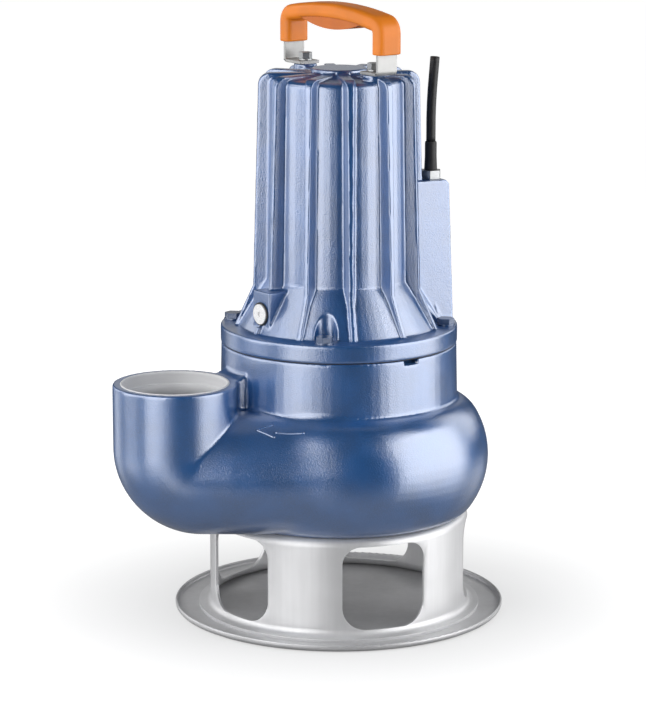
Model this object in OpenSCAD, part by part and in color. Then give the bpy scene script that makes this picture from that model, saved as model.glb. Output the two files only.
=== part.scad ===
// Submersible sewage pump with a recessed vortex impeller, on a pressed stainless stand.
// Millimetres. Z is the shaft's axis, the ground is Z = 0, and the discharge port is on the -X side.

/* [Stand] */
// Outer diameter of the base plate
plate_d = 284; // [270:1:300]
// Sheet thickness of the base plate
plate_t = 2; // [1.5:0.5:2.5]
// Height of the plate's upturned rim
plate_rim_h = 6; // [5:0.5:8]
// Outer diameter of the column wall
column_d = 223; // [218:1:230]
// Sheet thickness of the column
column_t = 2.5; // [2:0.25:3]
// Outer diameter of the lip at the column's foot
foot_lip_d = 243; // [240:1:250]
// Height of the pump's seat above the ground
seat_h = 88; // [84:1:100]
// Windows round the column
window_count = 5; // [4:1:5]
// Width of a window, as a chord
window_w = 73; // [60:1:76]
// Free height of a window
window_h = 72; // [60:1:74]
// Height of a window's sill above the ground
window_sill_h = 9; // [8:0.5:12]
// Screws that hold the pump on the column
stand_screw_d = 6; // [5:1:6]

/* [Pump body] */
// Height of the volute, from its seat to its flat top
volute_h = 99.5; // [96:0.5:108]
// Largest radius of the volute, from its own centre
volute_r = 124.3; // [122:0.1:130]
// Radius of the volute's side in section
volute_side_r = 72; // [64:1:84]
// Radius of the volute's upper shoulder in section
volute_top_r = 28; // [20:1:30]
// Radius of the volute's lower shoulder in section
volute_foot_r = 18; // [14:1:22]
// Wall of the casting
body_wall = 8; // [7:0.5:9]
// Sideways offset of the volute's centre from the shaft
volute_offset = 8; // [6:0.5:9]
// Diameter of the suction mouth
mouth_d = 75; // [70:1:80]
// Height of the collar above the volute
collar_h = 46.9; // [44:0.1:54]
// Outer diameter of the collar at its foot
collar_d = 203.6; // [201:0.2:206]
// Bore of the collar
collar_bore_d = 164; // [160:1:166]

/* [Discharge] */
// Distance of the port's axis from the shaft, along X
port_x = 136.5; // [134:0.5:142]
// Distance of the port's axis from the shaft, along Y
port_y = 77; // [74:0.5:79]
// Outer diameter of the port and of the channel
port_d = 104; // [100:1:106]
// Height of the port's rim above the ground
port_h = 213.5; // [208:0.5:225]
// Bend radius of the elbow, on its centre line
elbow_r = 22; // [18:1:30]
// Free diameter of the passage
passage_d = 82; // [78:1:84]
// Counterbore above the thread
port_counterbore_d = 88.8; // [88:0.2:91]
// Depth of the counterbore
port_counterbore_h = 10; // [6:0.5:14]
// Inner diameter of the pipe thread
port_thread_d = 85; // [84.8:0.1:86]
// Depth of the pipe thread
port_thread_h = 24; // [18:1:30]

/* [Motor casing] */
// Thickness of the flat gasket under the flange
gasket_t = 0.6; // [0.4:0.1:1]
// Outer diameter of the flange
flange_d = 202; // [200:0.5:206]
// Thickness of the flange
flange_t = 15; // [12:0.5:20]
// Height of the flared foot above the flange
foot_h = 40; // [36:1:46]
// Outer diameter of the foot where it meets the flange
foot_d = 173; // [166:1:176]
// Height of the ribbed barrel above the foot
barrel_h = 171; // [160:1:190]
// Diameter of the barrel wall at its foot
barrel_low_d = 124; // [122:0.5:128]
// Diameter of the barrel wall at its top
barrel_top_d = 119; // [117:0.5:122]
// Cooling ribs round the barrel
rib_count = 12; // [10:1:14]
// Width of a rib at the wall
rib_root_w = 9.6; // [8:0.2:11]
// Width of a rib at its tip
rib_tip_w = 4.2; // [3:0.2:5]
// Depth of a rib at the top of the barrel
rib_depth = 9; // [7:0.5:11]
// Radius of the rib's shoulder at the top
rib_shoulder_r = 10; // [8:0.5:14]
// Diameter of the raised disc on the top
crown_d = 46.8; // [40:0.4:50]
// Height of the raised disc's face above the barrel's edge
crown_h = 6.8; // [6:0.2:9]
// Flange bolts
flange_bolt_count = 4; // [4:1:4]
// Diameter of the flange bolts
flange_bolt_d = 8; // [6:1:8]
// Diameter of the flange bolts' circle
flange_bolt_circle_d = 183; // [180:0.5:184]

/* [Cable entry] */
// Direction of the cable box round the shaft, in degrees
box_az = 25; // [20:1:30]
// Width of the cable box
box_w = 52; // [46:1:56]
// Reach of the cable box at its foot, from the shaft
box_low_r = 96.5; // [93:0.5:98]
// Reach of the cable box at its top, from the shaft
box_top_r = 91.5; // [89:0.5:93]
// Height of the cable box above the flange
box_h = 120.5; // [110:0.5:130]
// Distance of the gland from the shaft
gland_r = 80; // [78:0.5:81]
// Thread of the cable gland
gland_thread_d = 14; // [12:1:15]
// Width across flats of the gland nut
gland_flats = 16; // [15:0.5:18]
// Height of the gland nut
gland_nut_h = 7.5; // [6:0.5:9]
// Length of the strain relief above its nut
boot_l = 24.5; // [20:0.5:24.5]
// Diameter of the strain relief at its foot
boot_d = 10.8; // [10:0.1:11]
// Diameter of the power cable
cable_d = 8; // [7:0.1:8.4]

/* [Oil chamber plug] */
// Direction of the plug round the shaft, in degrees
plug_az = -142; // [-146:1:-138]
// Distance of the plug's seat from the shaft
plug_r = 82.5; // [80:0.5:84]
// Width of the plug's boss
plug_boss_w = 23; // [22:0.5:26]
// Height of the plug above the flange
plug_h = 17; // [15:0.5:19]
// Diameter of the plug's head
plug_head_d = 16.8; // [15:0.1:19]
// Thread of the plug
plug_thread_d = 10; // [8:1:12]

/* [Handle] */
// Direction of the handle round the shaft, in degrees
handle_az = -54; // [-60:1:-50]
// Width of the strap
strap_w = 20; // [18:1:22]
// Thickness of the strap
strap_t = 2.5; // [2:0.25:3]
// Distance of a leg's centre from the shaft
leg_r = 66; // [64:0.5:68]
// Distance of a handle bolt from the shaft
handle_bolt_r = 49; // [47:0.5:50]
// Diameter of the handle bolts
handle_bolt_d = 6; // [5:1:6]
// Height of the grip's lower ends above the bolt bosses
grip_low_h = 17.5; // [15:0.5:20]
// Height of the grip's top above the bolt bosses
grip_top_h = 55; // [50:0.5:62]
// Width of the grip
grip_w = 24; // [23:0.5:28]
// Thickness of the grip
grip_t = 13.5; // [12:0.5:15]
// Rise of the grip's crown between its corners
grip_crown = 5; // [3:0.5:6]
// Bend of the grip's corners, on the centre line
grip_corner_r = 8.25; // [7.75:0.25:11]

/* [Shaft and bearings] */
// Diameter of the shaft in the seals
seal_shaft_d = 24; // [22:0.5:24]
// Diameter of the shaft in the rotor
rotor_shaft_d = 32; // [30:1:34]
// Diameter of the shaft's stub in the impeller
stub_d = 18; // [16:0.5:19]
// Bore of the lower ball bearing
lower_bore_d = 25; // [25:1:25]
// Outer diameter of the lower ball bearing
lower_out_d = 52; // [50:1:54]
// Width of the lower ball bearing
lower_bearing_w = 15; // [14:0.5:16]
// Bore of the upper ball bearing
upper_bore_d = 20; // [18:1:21]
// Outer diameter of the upper ball bearing
upper_out_d = 47; // [45:1:50]
// Width of the upper ball bearing
upper_bearing_w = 14; // [12:0.5:14]

/* [Motor] */
// Length of the stator's stack
stack_h = 90; // [80:1:100]
// Outer diameter of the stator's stack
stack_d = 108; // [104:1:109]
// Bore of the stator
stator_bore_d = 66; // [62:1:68]
// Slots in the stator
slot_count = 24; // [18:6:24]
// Gap between the rotor and the stator
air_gap = 0.6; // [0.4:0.1:1]

/* [Impeller] */
// Diameter of the impeller
impeller_d = 124; // [112:1:136]
// Height of the impeller's vanes
vane_h = 28; // [22:1:32]
// Thickness of a vane
vane_t = 4.5; // [4:0.5:6]
// Vanes on the impeller
vane_count = 7; // [5:1:8]
// Thickness of the impeller's back
shroud_t = 6; // [5:0.5:8]

/* [Hidden] */
$fn = 72;
cut = 1;                 // how far a cutter passes the face that it cuts
fit = 0.03;              // radial room between pieces that are fixed together
run = 0.06;              // room between pieces that turn past each other
ease = 0.2;              // room round strap and insert in the grip

// Stand
plate_r = plate_d / 2;
column_r = column_d / 2;
plate_bend_r = 4;
foot_bend_r = 6;
column_bend_r = 8;
column_mouth_r = mouth_d / 2 + 26;
window_az = -69.3;
window_top_corner_r = 15;
window_foot_corner_r = 20;
stand_screw_r = column_mouth_r + 31;
stand_screw_grip = 6.5;
stand_head_d = stand_screw_d * 1.6;
stand_head_h = stand_screw_d * 0.7;

// Heights that stack up from the seat
volute_top = seat_h + volute_h;
seam = volute_top + collar_h;
flange_foot = seam + gasket_t;
flange_top = flange_foot + flange_t;
foot_top = flange_top + foot_h;
barrel_top = foot_top + barrel_h;
rib_top = barrel_top + 3.5;
boss_top = barrel_top + 6;
crown_top = barrel_top + crown_h;

// Volute
volute_az = -60;
volute_x = volute_offset * cos(volute_az);
volute_y = volute_offset * sin(volute_az);
volute_mid = seat_h + volute_h / 2 - 0.6;
throat_r = collar_bore_d / 2 - 6;
ledge = volute_top + 4.5;
collar_taper = 1.3;
seat_ring_r = column_r - 3.5;
seat_cut_r = column_r + 1.5;
bolt_thread_l = 20;
notch_az = -53;
notch_w = 14;
notch_h = 4.2;
notch_depth = 8;
web_half_w = 19.5;
web_foot = volute_top - 20;
web_top = port_h + 10.5;
web_slope_h = 11.5;

// Discharge
port_r = port_d / 2;
passage_r = passage_d / 2;
elbow_x = -port_x + elbow_r;
elbow_z = volute_mid + elbow_r;
thread_foot = port_h - port_counterbore_h - port_thread_h;

// Seal plate and bracket
plate_disc_t = 10;
seal_plate_r = collar_bore_d / 2 - fit;
seal_plate_wall = 8;
o_ring_d = 3.5;
o_ring_z = seam - 12;
shaft_room = 0.5;
seal_seat_r = 17;
seal_seat_h = 8;
seal_ring_h = 8;
lower_seat_z = ledge + plate_disc_t + 4;
bracket_z = flange_foot + 41;
bracket_t = 12;
bracket_r = 56.5;
bracket_ring_t = 2;
lower_bearing_z = bracket_z + 1;
upper_seat_z = bracket_z - 14;
seal_hub_r = seal_seat_r + 7;
lower_ball_d = 8;
lower_ball_count = 9;
upper_ball_d = 8;
upper_ball_count = 8;

// Motor
stack_z = bracket_z + 40;
stack_r = stack_d / 2;
winding_overhang = 17;
rotor_ring_h = 8;
rotor_r = stator_bore_d / 2 - air_gap;
upper_bearing_z = barrel_top - 20;
ceiling = barrel_top - 4;
bearing_boss_r = upper_out_d / 2 + 7;
casing_bore_r = stack_r + fit;
chamber_low_r = 72;
wave_washer_h = 2;

// Impeller and shaft
impeller_back = ledge - 6;
vane_foot = impeller_back - shroud_t - vane_h;
hub_r = stub_d / 2 + 7;
hub_foot = vane_foot - 2;
stub_foot = hub_foot + 1.5;
key_w = 6;
key_l = 20;
key_z = hub_foot + 8;
washer_t = 2.5;
washer_r = hub_r - 3;
impeller_screw_d = 8;
shaft_top = upper_bearing_z + upper_bearing_w + 1;
shaft_ring_t = 1.6;
shaft_ring_z = lower_bearing_z - shaft_ring_t - 0.05;

// Ribs and foot
rib_az = -82;
rib_foot_r = foot_d / 2 + 3;
barrel_low_r = barrel_low_d / 2;
barrel_top_r = barrel_top_d / 2;
rib_tip_low_r = barrel_low_r + 11.5;
rib_tip_top_r = barrel_top_r + rib_depth;
panel_corner_r = 5;
crown_r = crown_d / 2;
crown_foot = crown_top - 4.8;
flange_round = 1.8;
flange_bolt_az = -97.5;
flange_bolt_r = flange_bolt_circle_d / 2;
flange_head_flats = flange_bolt_d * 1.6;
flange_collar_d = flange_bolt_d * 1.95;
flange_collar_h = 1.4;
flange_head_h = 6;
pocket_r = 9.5;
pocket_in = 8.7;
pocket_h = 32;

// Cable entry
box_top = flange_top + box_h;
gland_y = -13;
gland_thread_l = 9;
gland_hole_l = 15;
boot_tip_d = 9;
boot_foot = box_top - gland_hole_l;
nut_top = box_top + gland_nut_h;

// Oil plug
plug_z = flange_top + plug_h;
plug_boss_top = plug_z + 19;
plug_head_t = 2.2;
plug_thread_l = 12;
plug_ring_d = 1.5;

// Handle
handle_boss_r = 9.8;
leg_out = leg_r + strap_t / 2;
strap_bend_r = 4;
strap_top_bend_r = 7;
foot_in = handle_bolt_r - 6.5;
strap_foot = boss_top;
handle_head_h = 5.5;
handle_washer_t = 1.4;
handle_thread_l = 9.5;
handle_bolt_l = strap_t + handle_washer_t + handle_thread_l - 1;
grip_low = boss_top + grip_low_h;
grip_top = boss_top + grip_top_h;
grip_bar_half = leg_r - grip_corner_r;
grip_bar_r = (grip_bar_half * grip_bar_half + grip_crown * grip_crown) / (2 * grip_crown);
grip_bar_z = grip_top - grip_t / 2 - grip_bar_r;
grip_turn = asin(grip_bar_half / (grip_bar_r - grip_corner_r));
grip_corner_z = grip_bar_z + (grip_bar_r - grip_corner_r) * cos(grip_turn);
strap_top = grip_top - grip_t + 4.6;
insert_depth = 8;
insert_half = 45;
insert_w = 19.5;
insert_r = (insert_half * insert_half + insert_depth * insert_depth) / (2 * insert_depth);
insert_top = strap_top - strap_t - ease;
insert_low = grip_top - grip_t - insert_depth;
grip_screw_x = 32;
grip_screw_d = 3;
grip_screw_head_d = 6.6;
grip_screw_head_z = insert_top - 4.6;
grip_screw_head_t = 1.8;
grip_screw_top = grip_top - 4;

// Power cable: its route, straight out of the strain relief and then leaning a little to +X
cable_x = gland_r * cos(box_az) - gland_y * sin(box_az);
cable_y = gland_r * sin(box_az) + gland_y * cos(box_az);
cable_foot = nut_top + boot_l;
cable_route = [
    [0, 0, 0], [0, 0, 4], [0, 0, 8], [0, 0, 12], [0, 0, 16], [0, 0, 20],
    [0.1, 0, 24], [0.2, 0, 28], [0.3, 0, 32], [0.5, 0, 36], [0.7, 0, 40], [0.9, 0, 44],
    [1.2, 0, 48], [1.5, 0, 52], [1.8, 0, 56], [2.1, 0, 60], [2.4, 0, 64], [2.7, 0, 68], [3, 0, 72]
];
cable_sides = 12;

// Colours
cast_blue = "#2d4f80";
stainless = "#c9cccf";
machined = "#d9d9d6";
black_rubber = "#1c1c1e";
grip_orange = "#e88a32";
copper = "#b5763c";
lamination = "#7d8185";
ceramic = "#e6e2d8";
cast_grey = "#8b8f93";

// Points of an arc from angle a0 to a1, in steps of at most about 6 degrees
function arc(x, y, r, a0, a1) =
    let (n = max(2, ceil(abs(a1 - a0) / 6)))
    [for (i = [0:n]) [x + r * cos(a0 + (a1 - a0) * i / n), y + r * sin(a0 + (a1 - a0) * i / n)]];

// Repeats the children round the shaft
module around(count, first) {
    for (i = [0:count - 1]) rotate([0, 0, first + i * 360 / count]) children();
}

// A revolved ring of rectangular section
module ring(r_in, r_out, z, h) {
    translate([0, 0, z]) difference() {
        cylinder(r = r_out, h = h);
        translate([0, 0, -cut]) cylinder(r = r_in, h = h + 2 * cut);
    }
}

// A quarter of a bent sheet in section, with its bend's centre at the origin
module bend(r_out, t, sx, sy) {
    intersection() {
        difference() {
            circle(r = r_out);
            circle(r = r_out - t);
        }
        translate([sx > 0 ? 0 : -r_out, sy > 0 ? 0 : -r_out]) square(r_out);
    }
}

// A hexagon of the given width across flats
module hexagon(flats, h) {
    cylinder(r = flats / 2 / cos(30), h = h, $fn = 6);
}

// A rectangle with two radii: foot corners and top corners
module window_outline(w, h, foot_r, top_r) {
    translate([-w / 2 + foot_r, 0]) square([w - 2 * foot_r, h / 2]);
    translate([-w / 2 + top_r, h / 2]) square([w - 2 * top_r, h / 2]);
    translate([-w / 2, foot_r]) square([w, h - foot_r - top_r]);
    for (s = [-1, 1]) {
        translate([s * (w / 2 - foot_r), foot_r]) circle(r = foot_r);
        translate([s * (w / 2 - top_r), h - top_r]) circle(r = top_r);
    }
}

// Closed pressed disc with an upturned rim
module base_plate() {
    color(stainless) rotate_extrude() {
        square([plate_r - plate_bend_r, plate_t]);
        translate([plate_r - plate_bend_r, plate_bend_r]) bend(plate_bend_r, plate_t, 1, -1);
        translate([plate_r - plate_t, plate_bend_r])
            square([plate_t, plate_rim_h - plate_bend_r - plate_t / 2]);
        translate([plate_r - plate_t / 2, plate_rim_h - plate_t / 2]) circle(d = plate_t);
    }
}

// Section of the column's sheet, from its foot lip to the seat
module column_section() {
    bend_x = column_r + foot_bend_r;
    bend_z = plate_t + column_t + foot_bend_r;
    translate([bend_x, plate_t]) square([foot_lip_d / 2 - bend_x, column_t]);
    translate([bend_x, bend_z]) bend(foot_bend_r + column_t, column_t, -1, -1);
    translate([column_r - column_t, bend_z])
        square([column_t, seat_h - column_bend_r - bend_z]);
    translate([column_r - column_bend_r, seat_h - column_bend_r])
        bend(column_bend_r, column_t, 1, 1);
    translate([column_mouth_r, seat_h - column_t])
        square([column_r - column_bend_r - column_mouth_r, column_t]);
}

module stand_column() {
    color(stainless) difference() {
        rotate_extrude() column_section();
        around(window_count, window_az)
            translate([column_r / 2, 0, window_sill_h]) rotate([90, 0, 90])
                linear_extrude(column_r)
                    window_outline(window_w, window_h, window_foot_corner_r, window_top_corner_r);
        around(window_count, window_az + 180 / window_count)
            translate([stand_screw_r, 0, seat_h - column_t - cut])
                cylinder(d = stand_screw_d + 2 * ease, h = column_t + 2 * cut);
    }
}

module stand_screws() {
    color(machined) around(window_count, window_az + 180 / window_count)
        translate([stand_screw_r, 0, seat_h - column_t]) {
            cylinder(d = stand_screw_d - 2 * fit, h = column_t + stand_screw_grip - 0.5);
            difference() {
                translate([0, 0, -stand_head_h]) cylinder(d = stand_head_d, h = stand_head_h);
                translate([0, 0, -stand_head_h - cut])
                    hexagon(stand_screw_d * 0.6, stand_head_h * 0.5 + cut);
            }
        }
}

// Section of the volute, drawn inwards from the casting's outside by an inset
function volute_section(inset) =
    let (
        side_x = volute_r - volute_side_r,
        top_z = volute_top - volute_top_r - volute_mid,
        foot_z = seat_h + volute_foot_r - volute_mid,
        top_x = side_x + sqrt(pow(volute_side_r - volute_top_r, 2) - top_z * top_z),
        foot_x = side_x + sqrt(pow(volute_side_r - volute_foot_r, 2) - foot_z * foot_z),
        top_a = atan2(top_z, top_x - side_x),
        foot_a = atan2(foot_z, foot_x - side_x)
    )
    concat(
        [[0, seat_h + inset]],
        arc(foot_x, volute_mid + foot_z, volute_foot_r - inset, -90, foot_a),
        arc(side_x, volute_mid, volute_side_r - inset, foot_a + 2, top_a - 2),
        arc(top_x, volute_mid + top_z, volute_top_r - inset, top_a, 90),
        [[0, volute_top - inset]]
    );

module volute_solid(inset) {
    translate([volute_x, volute_y, 0]) rotate_extrude() polygon(volute_section(inset));
}

// A quarter bend about a line along Y, from the channel up into the port
module elbow(r) {
    translate([elbow_x, -port_y, elbow_z]) rotate([90, 0, 0]) rotate([0, 0, 180])
        rotate_extrude(angle = 90) intersection() {
            translate([elbow_r, 0]) circle(r = r);
            translate([0, -r]) square([elbow_r + r, 2 * r]);
        }
}

// The discharge's outside or its passage: channel, elbow and upright
module discharge(r, channel_end, top) {
    translate([-port_x, -port_y, elbow_z]) cylinder(r = r, h = top - elbow_z);
    elbow(r);
    translate([elbow_x, -port_y, volute_mid]) rotate([0, 90, 0])
        cylinder(r = r, h = channel_end - elbow_x);
}

// Flat web between the port and the collar, its top sloping down to the port
module port_web() {
    reach = norm([port_x, port_y]);
    rotate([0, 0, atan2(-port_y, -port_x)]) translate([0, web_half_w, 0]) rotate([90, 0, 0])
        linear_extrude(2 * web_half_w) polygon([
            [collar_bore_d / 2 + 5, web_foot], [reach - passage_r - 6, web_foot],
            [reach - passage_r - 6, web_top - web_slope_h], [collar_bore_d / 2 + 5, web_top]
        ]);
}

module pump_body() {
    color(cast_blue) difference() {
        union() {
            volute_solid(0);
            translate([0, 0, volute_top - 12]) cylinder(
                r1 = collar_d / 2, r2 = collar_d / 2 - collar_taper, h = seam - volute_top + 12);
            translate([0, 0, seat_h]) cylinder(r = seat_ring_r, h = 5);
            discharge(port_r, volute_x, port_h);
            port_web();
        }
        volute_solid(body_wall);
        discharge(passage_r, -20, port_h + cut);
        translate([-port_x, -port_y, thread_foot]) cylinder(d = port_thread_d, h = port_h);
        translate([-port_x, -port_y, port_h - port_counterbore_h])
            cylinder(d = port_counterbore_d, h = port_h);
        translate([0, 0, volute_top - body_wall - cut]) cylinder(r = throat_r, h = seam);
        translate([0, 0, ledge]) cylinder(d = collar_bore_d, h = seam);
        cylinder(d = mouth_d, h = volute_mid);
        translate([0, 0, seat_h - 20]) cylinder(r = seat_cut_r, h = 20);
        around(flange_bolt_count, flange_bolt_az)
            translate([flange_bolt_r, 0, seam - bolt_thread_l])
                cylinder(d = flange_bolt_d, h = bolt_thread_l + cut);
        around(window_count, window_az + 180 / window_count)
            translate([stand_screw_r, 0, seat_h - cut])
                cylinder(d = stand_screw_d, h = stand_screw_grip + cut);
        rotate([0, 0, notch_az])
            translate([collar_d / 2 - notch_depth, -notch_w / 2, seam - notch_h])
                cube([2 * notch_depth, notch_w, notch_h + cut]);
    }
}

module body_o_ring() {
    color(black_rubber) translate([0, 0, o_ring_z]) rotate_extrude()
        translate([seal_plate_r - o_ring_d / 2 + fit / 2, 0]) circle(d = o_ring_d - fit);
}

// Cup that closes the volute from above and is the floor of the oil chamber
module seal_plate() {
    hub_top = lower_seat_z + seal_seat_h;
    color(cast_grey) difference() {
        union() {
            ring(seal_shaft_d / 2 + shaft_room, seal_plate_r, ledge, plate_disc_t);
            ring(seal_shaft_d / 2 + shaft_room, seal_hub_r, ledge, hub_top - ledge);
            ring(seal_plate_r - seal_plate_wall, seal_plate_r, ledge, flange_foot - ledge);
        }
        translate([0, 0, lower_seat_z]) cylinder(r = seal_seat_r, h = seal_seat_h + cut);
        translate([0, 0, o_ring_z]) rotate_extrude()
            translate([seal_plate_r - o_ring_d - fit, -o_ring_d / 2 - fit])
                square([o_ring_d + 1, o_ring_d + 2 * fit]);
    }
}

module casing_gasket() {
    color(black_rubber) difference() {
        ring(collar_bore_d / 2 + fit, collar_d / 2 - collar_taper - 0.6, seam, gasket_t);
        around(flange_bolt_count, flange_bolt_az)
            translate([flange_bolt_r, 0, seam - cut])
                cylinder(d = flange_bolt_d + ease, h = gasket_t + 2 * cut);
    }
}

// Outside of the casing without its ribs
function casing_section() = concat(
    [[0, flange_foot], [flange_d / 2 - 0.5, flange_foot], [flange_d / 2, flange_foot + 0.5]],
    arc(flange_d / 2 - flange_round, flange_top - flange_round, flange_round, 0, 90),
    [[foot_d / 2, flange_top], [barrel_low_r, foot_top]],
    arc(barrel_top_r - panel_corner_r, barrel_top - panel_corner_r, panel_corner_r, 0, 80),
    [[crown_r, crown_foot]],
    arc(crown_r - 1, crown_top - 1, 1, 0, 90),
    [[0, crown_top]]
);

// Envelope that the ribs reach to
function rib_section() = concat(
    [[0, flange_foot + 1], [rib_foot_r, flange_foot + 1], [rib_foot_r, flange_top],
     [rib_tip_low_r, foot_top - 6]],
    arc(rib_tip_top_r - rib_shoulder_r, rib_top - rib_shoulder_r, rib_shoulder_r, 0, 90),
    [[0, rib_top]]
);

module rib_outline() {
    around(rib_count, rib_az) polygon([
        [crown_r - 8, -rib_root_w / 2 - 0.6], [barrel_top_r, -rib_root_w / 2],
        [rib_tip_low_r - 2, -rib_tip_w / 2], [rib_foot_r + 2, -rib_tip_w / 2],
        [rib_foot_r + 2, rib_tip_w / 2], [rib_tip_low_r - 2, rib_tip_w / 2],
        [barrel_top_r, rib_root_w / 2], [crown_r - 8, rib_root_w / 2 + 0.6]
    ]);
}

// The cable box, its outer face leaning in towards the top
module cable_box() {
    rotate([0, 0, box_az]) translate([0, box_w / 2, 0]) rotate([90, 0, 0])
        linear_extrude(box_w) polygon([
            [barrel_top_r - 20, flange_top - 2], [box_low_r, flange_top - 2],
            [box_top_r, box_top - 3], [box_top_r - 3, box_top], [barrel_top_r - 20, box_top]
        ]);
}

// Hollow of the casing: oil chamber, bracket seat, stator bore and upper bearing boss
function hollow_section() = [
    [0, flange_foot - cut], [chamber_low_r, flange_foot - cut], [chamber_low_r, flange_foot],
    [bracket_r + 0.8, bracket_z - bracket_ring_t], [bracket_r + 2, bracket_z - bracket_ring_t],
    [bracket_r + 2, bracket_z], [bracket_r, bracket_z], [bracket_r, bracket_z + bracket_t],
    [casing_bore_r, bracket_z + bracket_t], [casing_bore_r, ceiling - 14],
    [casing_bore_r - 8, ceiling], [bearing_boss_r, ceiling],
    [bearing_boss_r, upper_bearing_z - 4], [upper_out_d / 2 + fit, upper_bearing_z - 4],
    [upper_out_d / 2 + fit, upper_bearing_z + upper_bearing_w + wave_washer_h],
    [upper_bore_d / 2 + 4, upper_bearing_z + upper_bearing_w + wave_washer_h],
    [upper_bore_d / 2 + 4, ceiling + 1], [0, ceiling + 1]
];

module motor_casing() {
    color(cast_blue) difference() {
        union() {
            rotate_extrude() polygon(casing_section());
            intersection() {
                rotate_extrude() polygon(rib_section());
                linear_extrude(rib_top + cut) rib_outline();
            }
            cable_box();
            rotate([0, 0, plug_az]) translate([barrel_low_r - 10, -plug_boss_w / 2, flange_top - 2])
                cube([plug_r - barrel_low_r + 10, plug_boss_w, plug_boss_top - flange_top + 2]);
            around(2, handle_az) translate([handle_bolt_r, 0, ceiling])
                cylinder(r = handle_boss_r, h = boss_top - ceiling);
        }
        rotate_extrude() polygon(hollow_section());
        around(flange_bolt_count, flange_bolt_az) translate([flange_bolt_r, 0, 0]) {
            translate([0, 0, flange_foot - cut])
                cylinder(d = flange_bolt_d + 2 * ease, h = flange_t + 2 * cut);
            translate([-pocket_in, 0, flange_top]) {
                cylinder(r = pocket_r, h = pocket_h);
                translate([0, -pocket_r, 0]) cube([3 * pocket_r, 2 * pocket_r, pocket_h]);
            }
        }
        rotate([0, 0, plug_az]) translate([0, 0, plug_z]) rotate([0, 90, 0]) {
            translate([0, 0, barrel_low_r - 12]) cylinder(d = plug_thread_d, h = plug_r);
            translate([0, 0, plug_r]) cylinder(d = plug_head_d + 2 * plug_ring_d + 2, h = plug_head_d);
        }
        around(2, handle_az) translate([handle_bolt_r, 0, boss_top - handle_thread_l])
            cylinder(d = handle_bolt_d, h = handle_thread_l + cut);
        rotate([0, 0, box_az]) translate([gland_r, gland_y, box_top - gland_hole_l])
            cylinder(d = gland_thread_d, h = gland_hole_l + cut);
    }
}

module flange_bolts() {
    color(cast_blue) around(flange_bolt_count, flange_bolt_az)
        translate([flange_bolt_r, 0, flange_top]) {
            cylinder(d = flange_collar_d, h = flange_collar_h);
            hexagon(flange_head_flats, flange_head_h);
            translate([0, 0, -flange_t - bolt_thread_l + 3])
                cylinder(d = flange_bolt_d - 2 * fit, h = flange_t + bolt_thread_l - 2);
        }
}

module oil_plug() {
    color(stainless) rotate([0, 0, plug_az]) translate([plug_r, 0, plug_z]) rotate([0, 90, 0])
        difference() {
            union() {
                cylinder(d = plug_head_d, h = plug_head_t);
                translate([0, 0, -plug_thread_l])
                    cylinder(d = plug_thread_d - 2 * fit, h = plug_thread_l + cut);
            }
            translate([0, 0, plug_head_t - 1.5]) hexagon(4, 2);
        }
}

module oil_plug_ring() {
    color(black_rubber) rotate([0, 0, plug_az])
        translate([plug_r + plug_ring_d / 2, 0, plug_z]) rotate([0, 90, 0]) rotate_extrude()
            translate([(plug_head_d + plug_ring_d) / 2 + fit, 0]) circle(d = plug_ring_d);
}

module bearing_bracket() {
    hub_r = lower_out_d / 2 + 7;
    color(cast_grey) difference() {
        union() {
            translate([0, 0, bracket_z]) cylinder(r = bracket_r - fit, h = bracket_t);
            translate([0, 0, upper_seat_z]) cylinder(r = seal_hub_r, h = bracket_z - upper_seat_z + 1);
            translate([0, 0, bracket_z]) cylinder(r = hub_r, h = lower_bearing_w + 1);
        }
        translate([0, 0, upper_seat_z - cut]) cylinder(r = seal_seat_r, h = seal_seat_h + cut);
        translate([0, 0, upper_seat_z]) cylinder(r = seal_shaft_d / 2 + 2, h = 20);
        translate([0, 0, upper_seat_z + seal_seat_h + 2]) cylinder(r = seal_seat_r + 1, h = 20);
        translate([0, 0, lower_bearing_z])
            cylinder(r = lower_out_d / 2 + fit, h = lower_bearing_w + cut);
    }
}

// Open snap ring that holds the bracket up against its shoulder
module bracket_ring() {
    color(stainless) difference() {
        ring(bracket_r - 5, bracket_r + 1.5, bracket_z - bracket_ring_t + fit, bracket_ring_t - 2 * fit);
        translate([bracket_r - 10, -6, bracket_z - 4]) cube([20, 12, 8]);
    }
}

// One ring of a ball bearing, with the raceway of its balls
module bearing_ring(r_in, r_out, pitch_r, ball_d, w, z) {
    translate([0, 0, z]) rotate_extrude() difference() {
        translate([r_in, 0]) square([r_out - r_in, w]);
        translate([pitch_r, w / 2]) circle(d = ball_d + 2 * run);
    }
}

module outer_ring(bore, out, w, ball, z) {
    pitch = (bore + out) / 4;
    color(stainless) bearing_ring(pitch + ball / 4, out / 2, pitch, ball, w, z);
}

module inner_ring(bore, out, w, ball, z) {
    pitch = (bore + out) / 4;
    color(stainless) bearing_ring(bore / 2 + fit, pitch - ball / 4, pitch, ball, w, z);
}

// Balls and the cage that spaces them
module ball_set(bore, out, w, ball, count, z) {
    pitch = (bore + out) / 4;
    color(machined) translate([0, 0, z + w / 2]) {
        around(count, 0) translate([pitch, 0, 0]) sphere(d = ball);
        difference() {
            ring(pitch - ball / 8, pitch + ball / 8, -ball / 2 - 0.8, ball + 1.6);
            around(count, 0) rotate([0, 90, 0]) cylinder(d = ball + 2 * run, h = out / 2);
        }
    }
}

module lower_bearing_outer() {
    outer_ring(lower_bore_d, lower_out_d, lower_bearing_w, lower_ball_d, lower_bearing_z);
}

module lower_bearing_inner() {
    inner_ring(lower_bore_d, lower_out_d, lower_bearing_w, lower_ball_d, lower_bearing_z);
}

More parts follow.
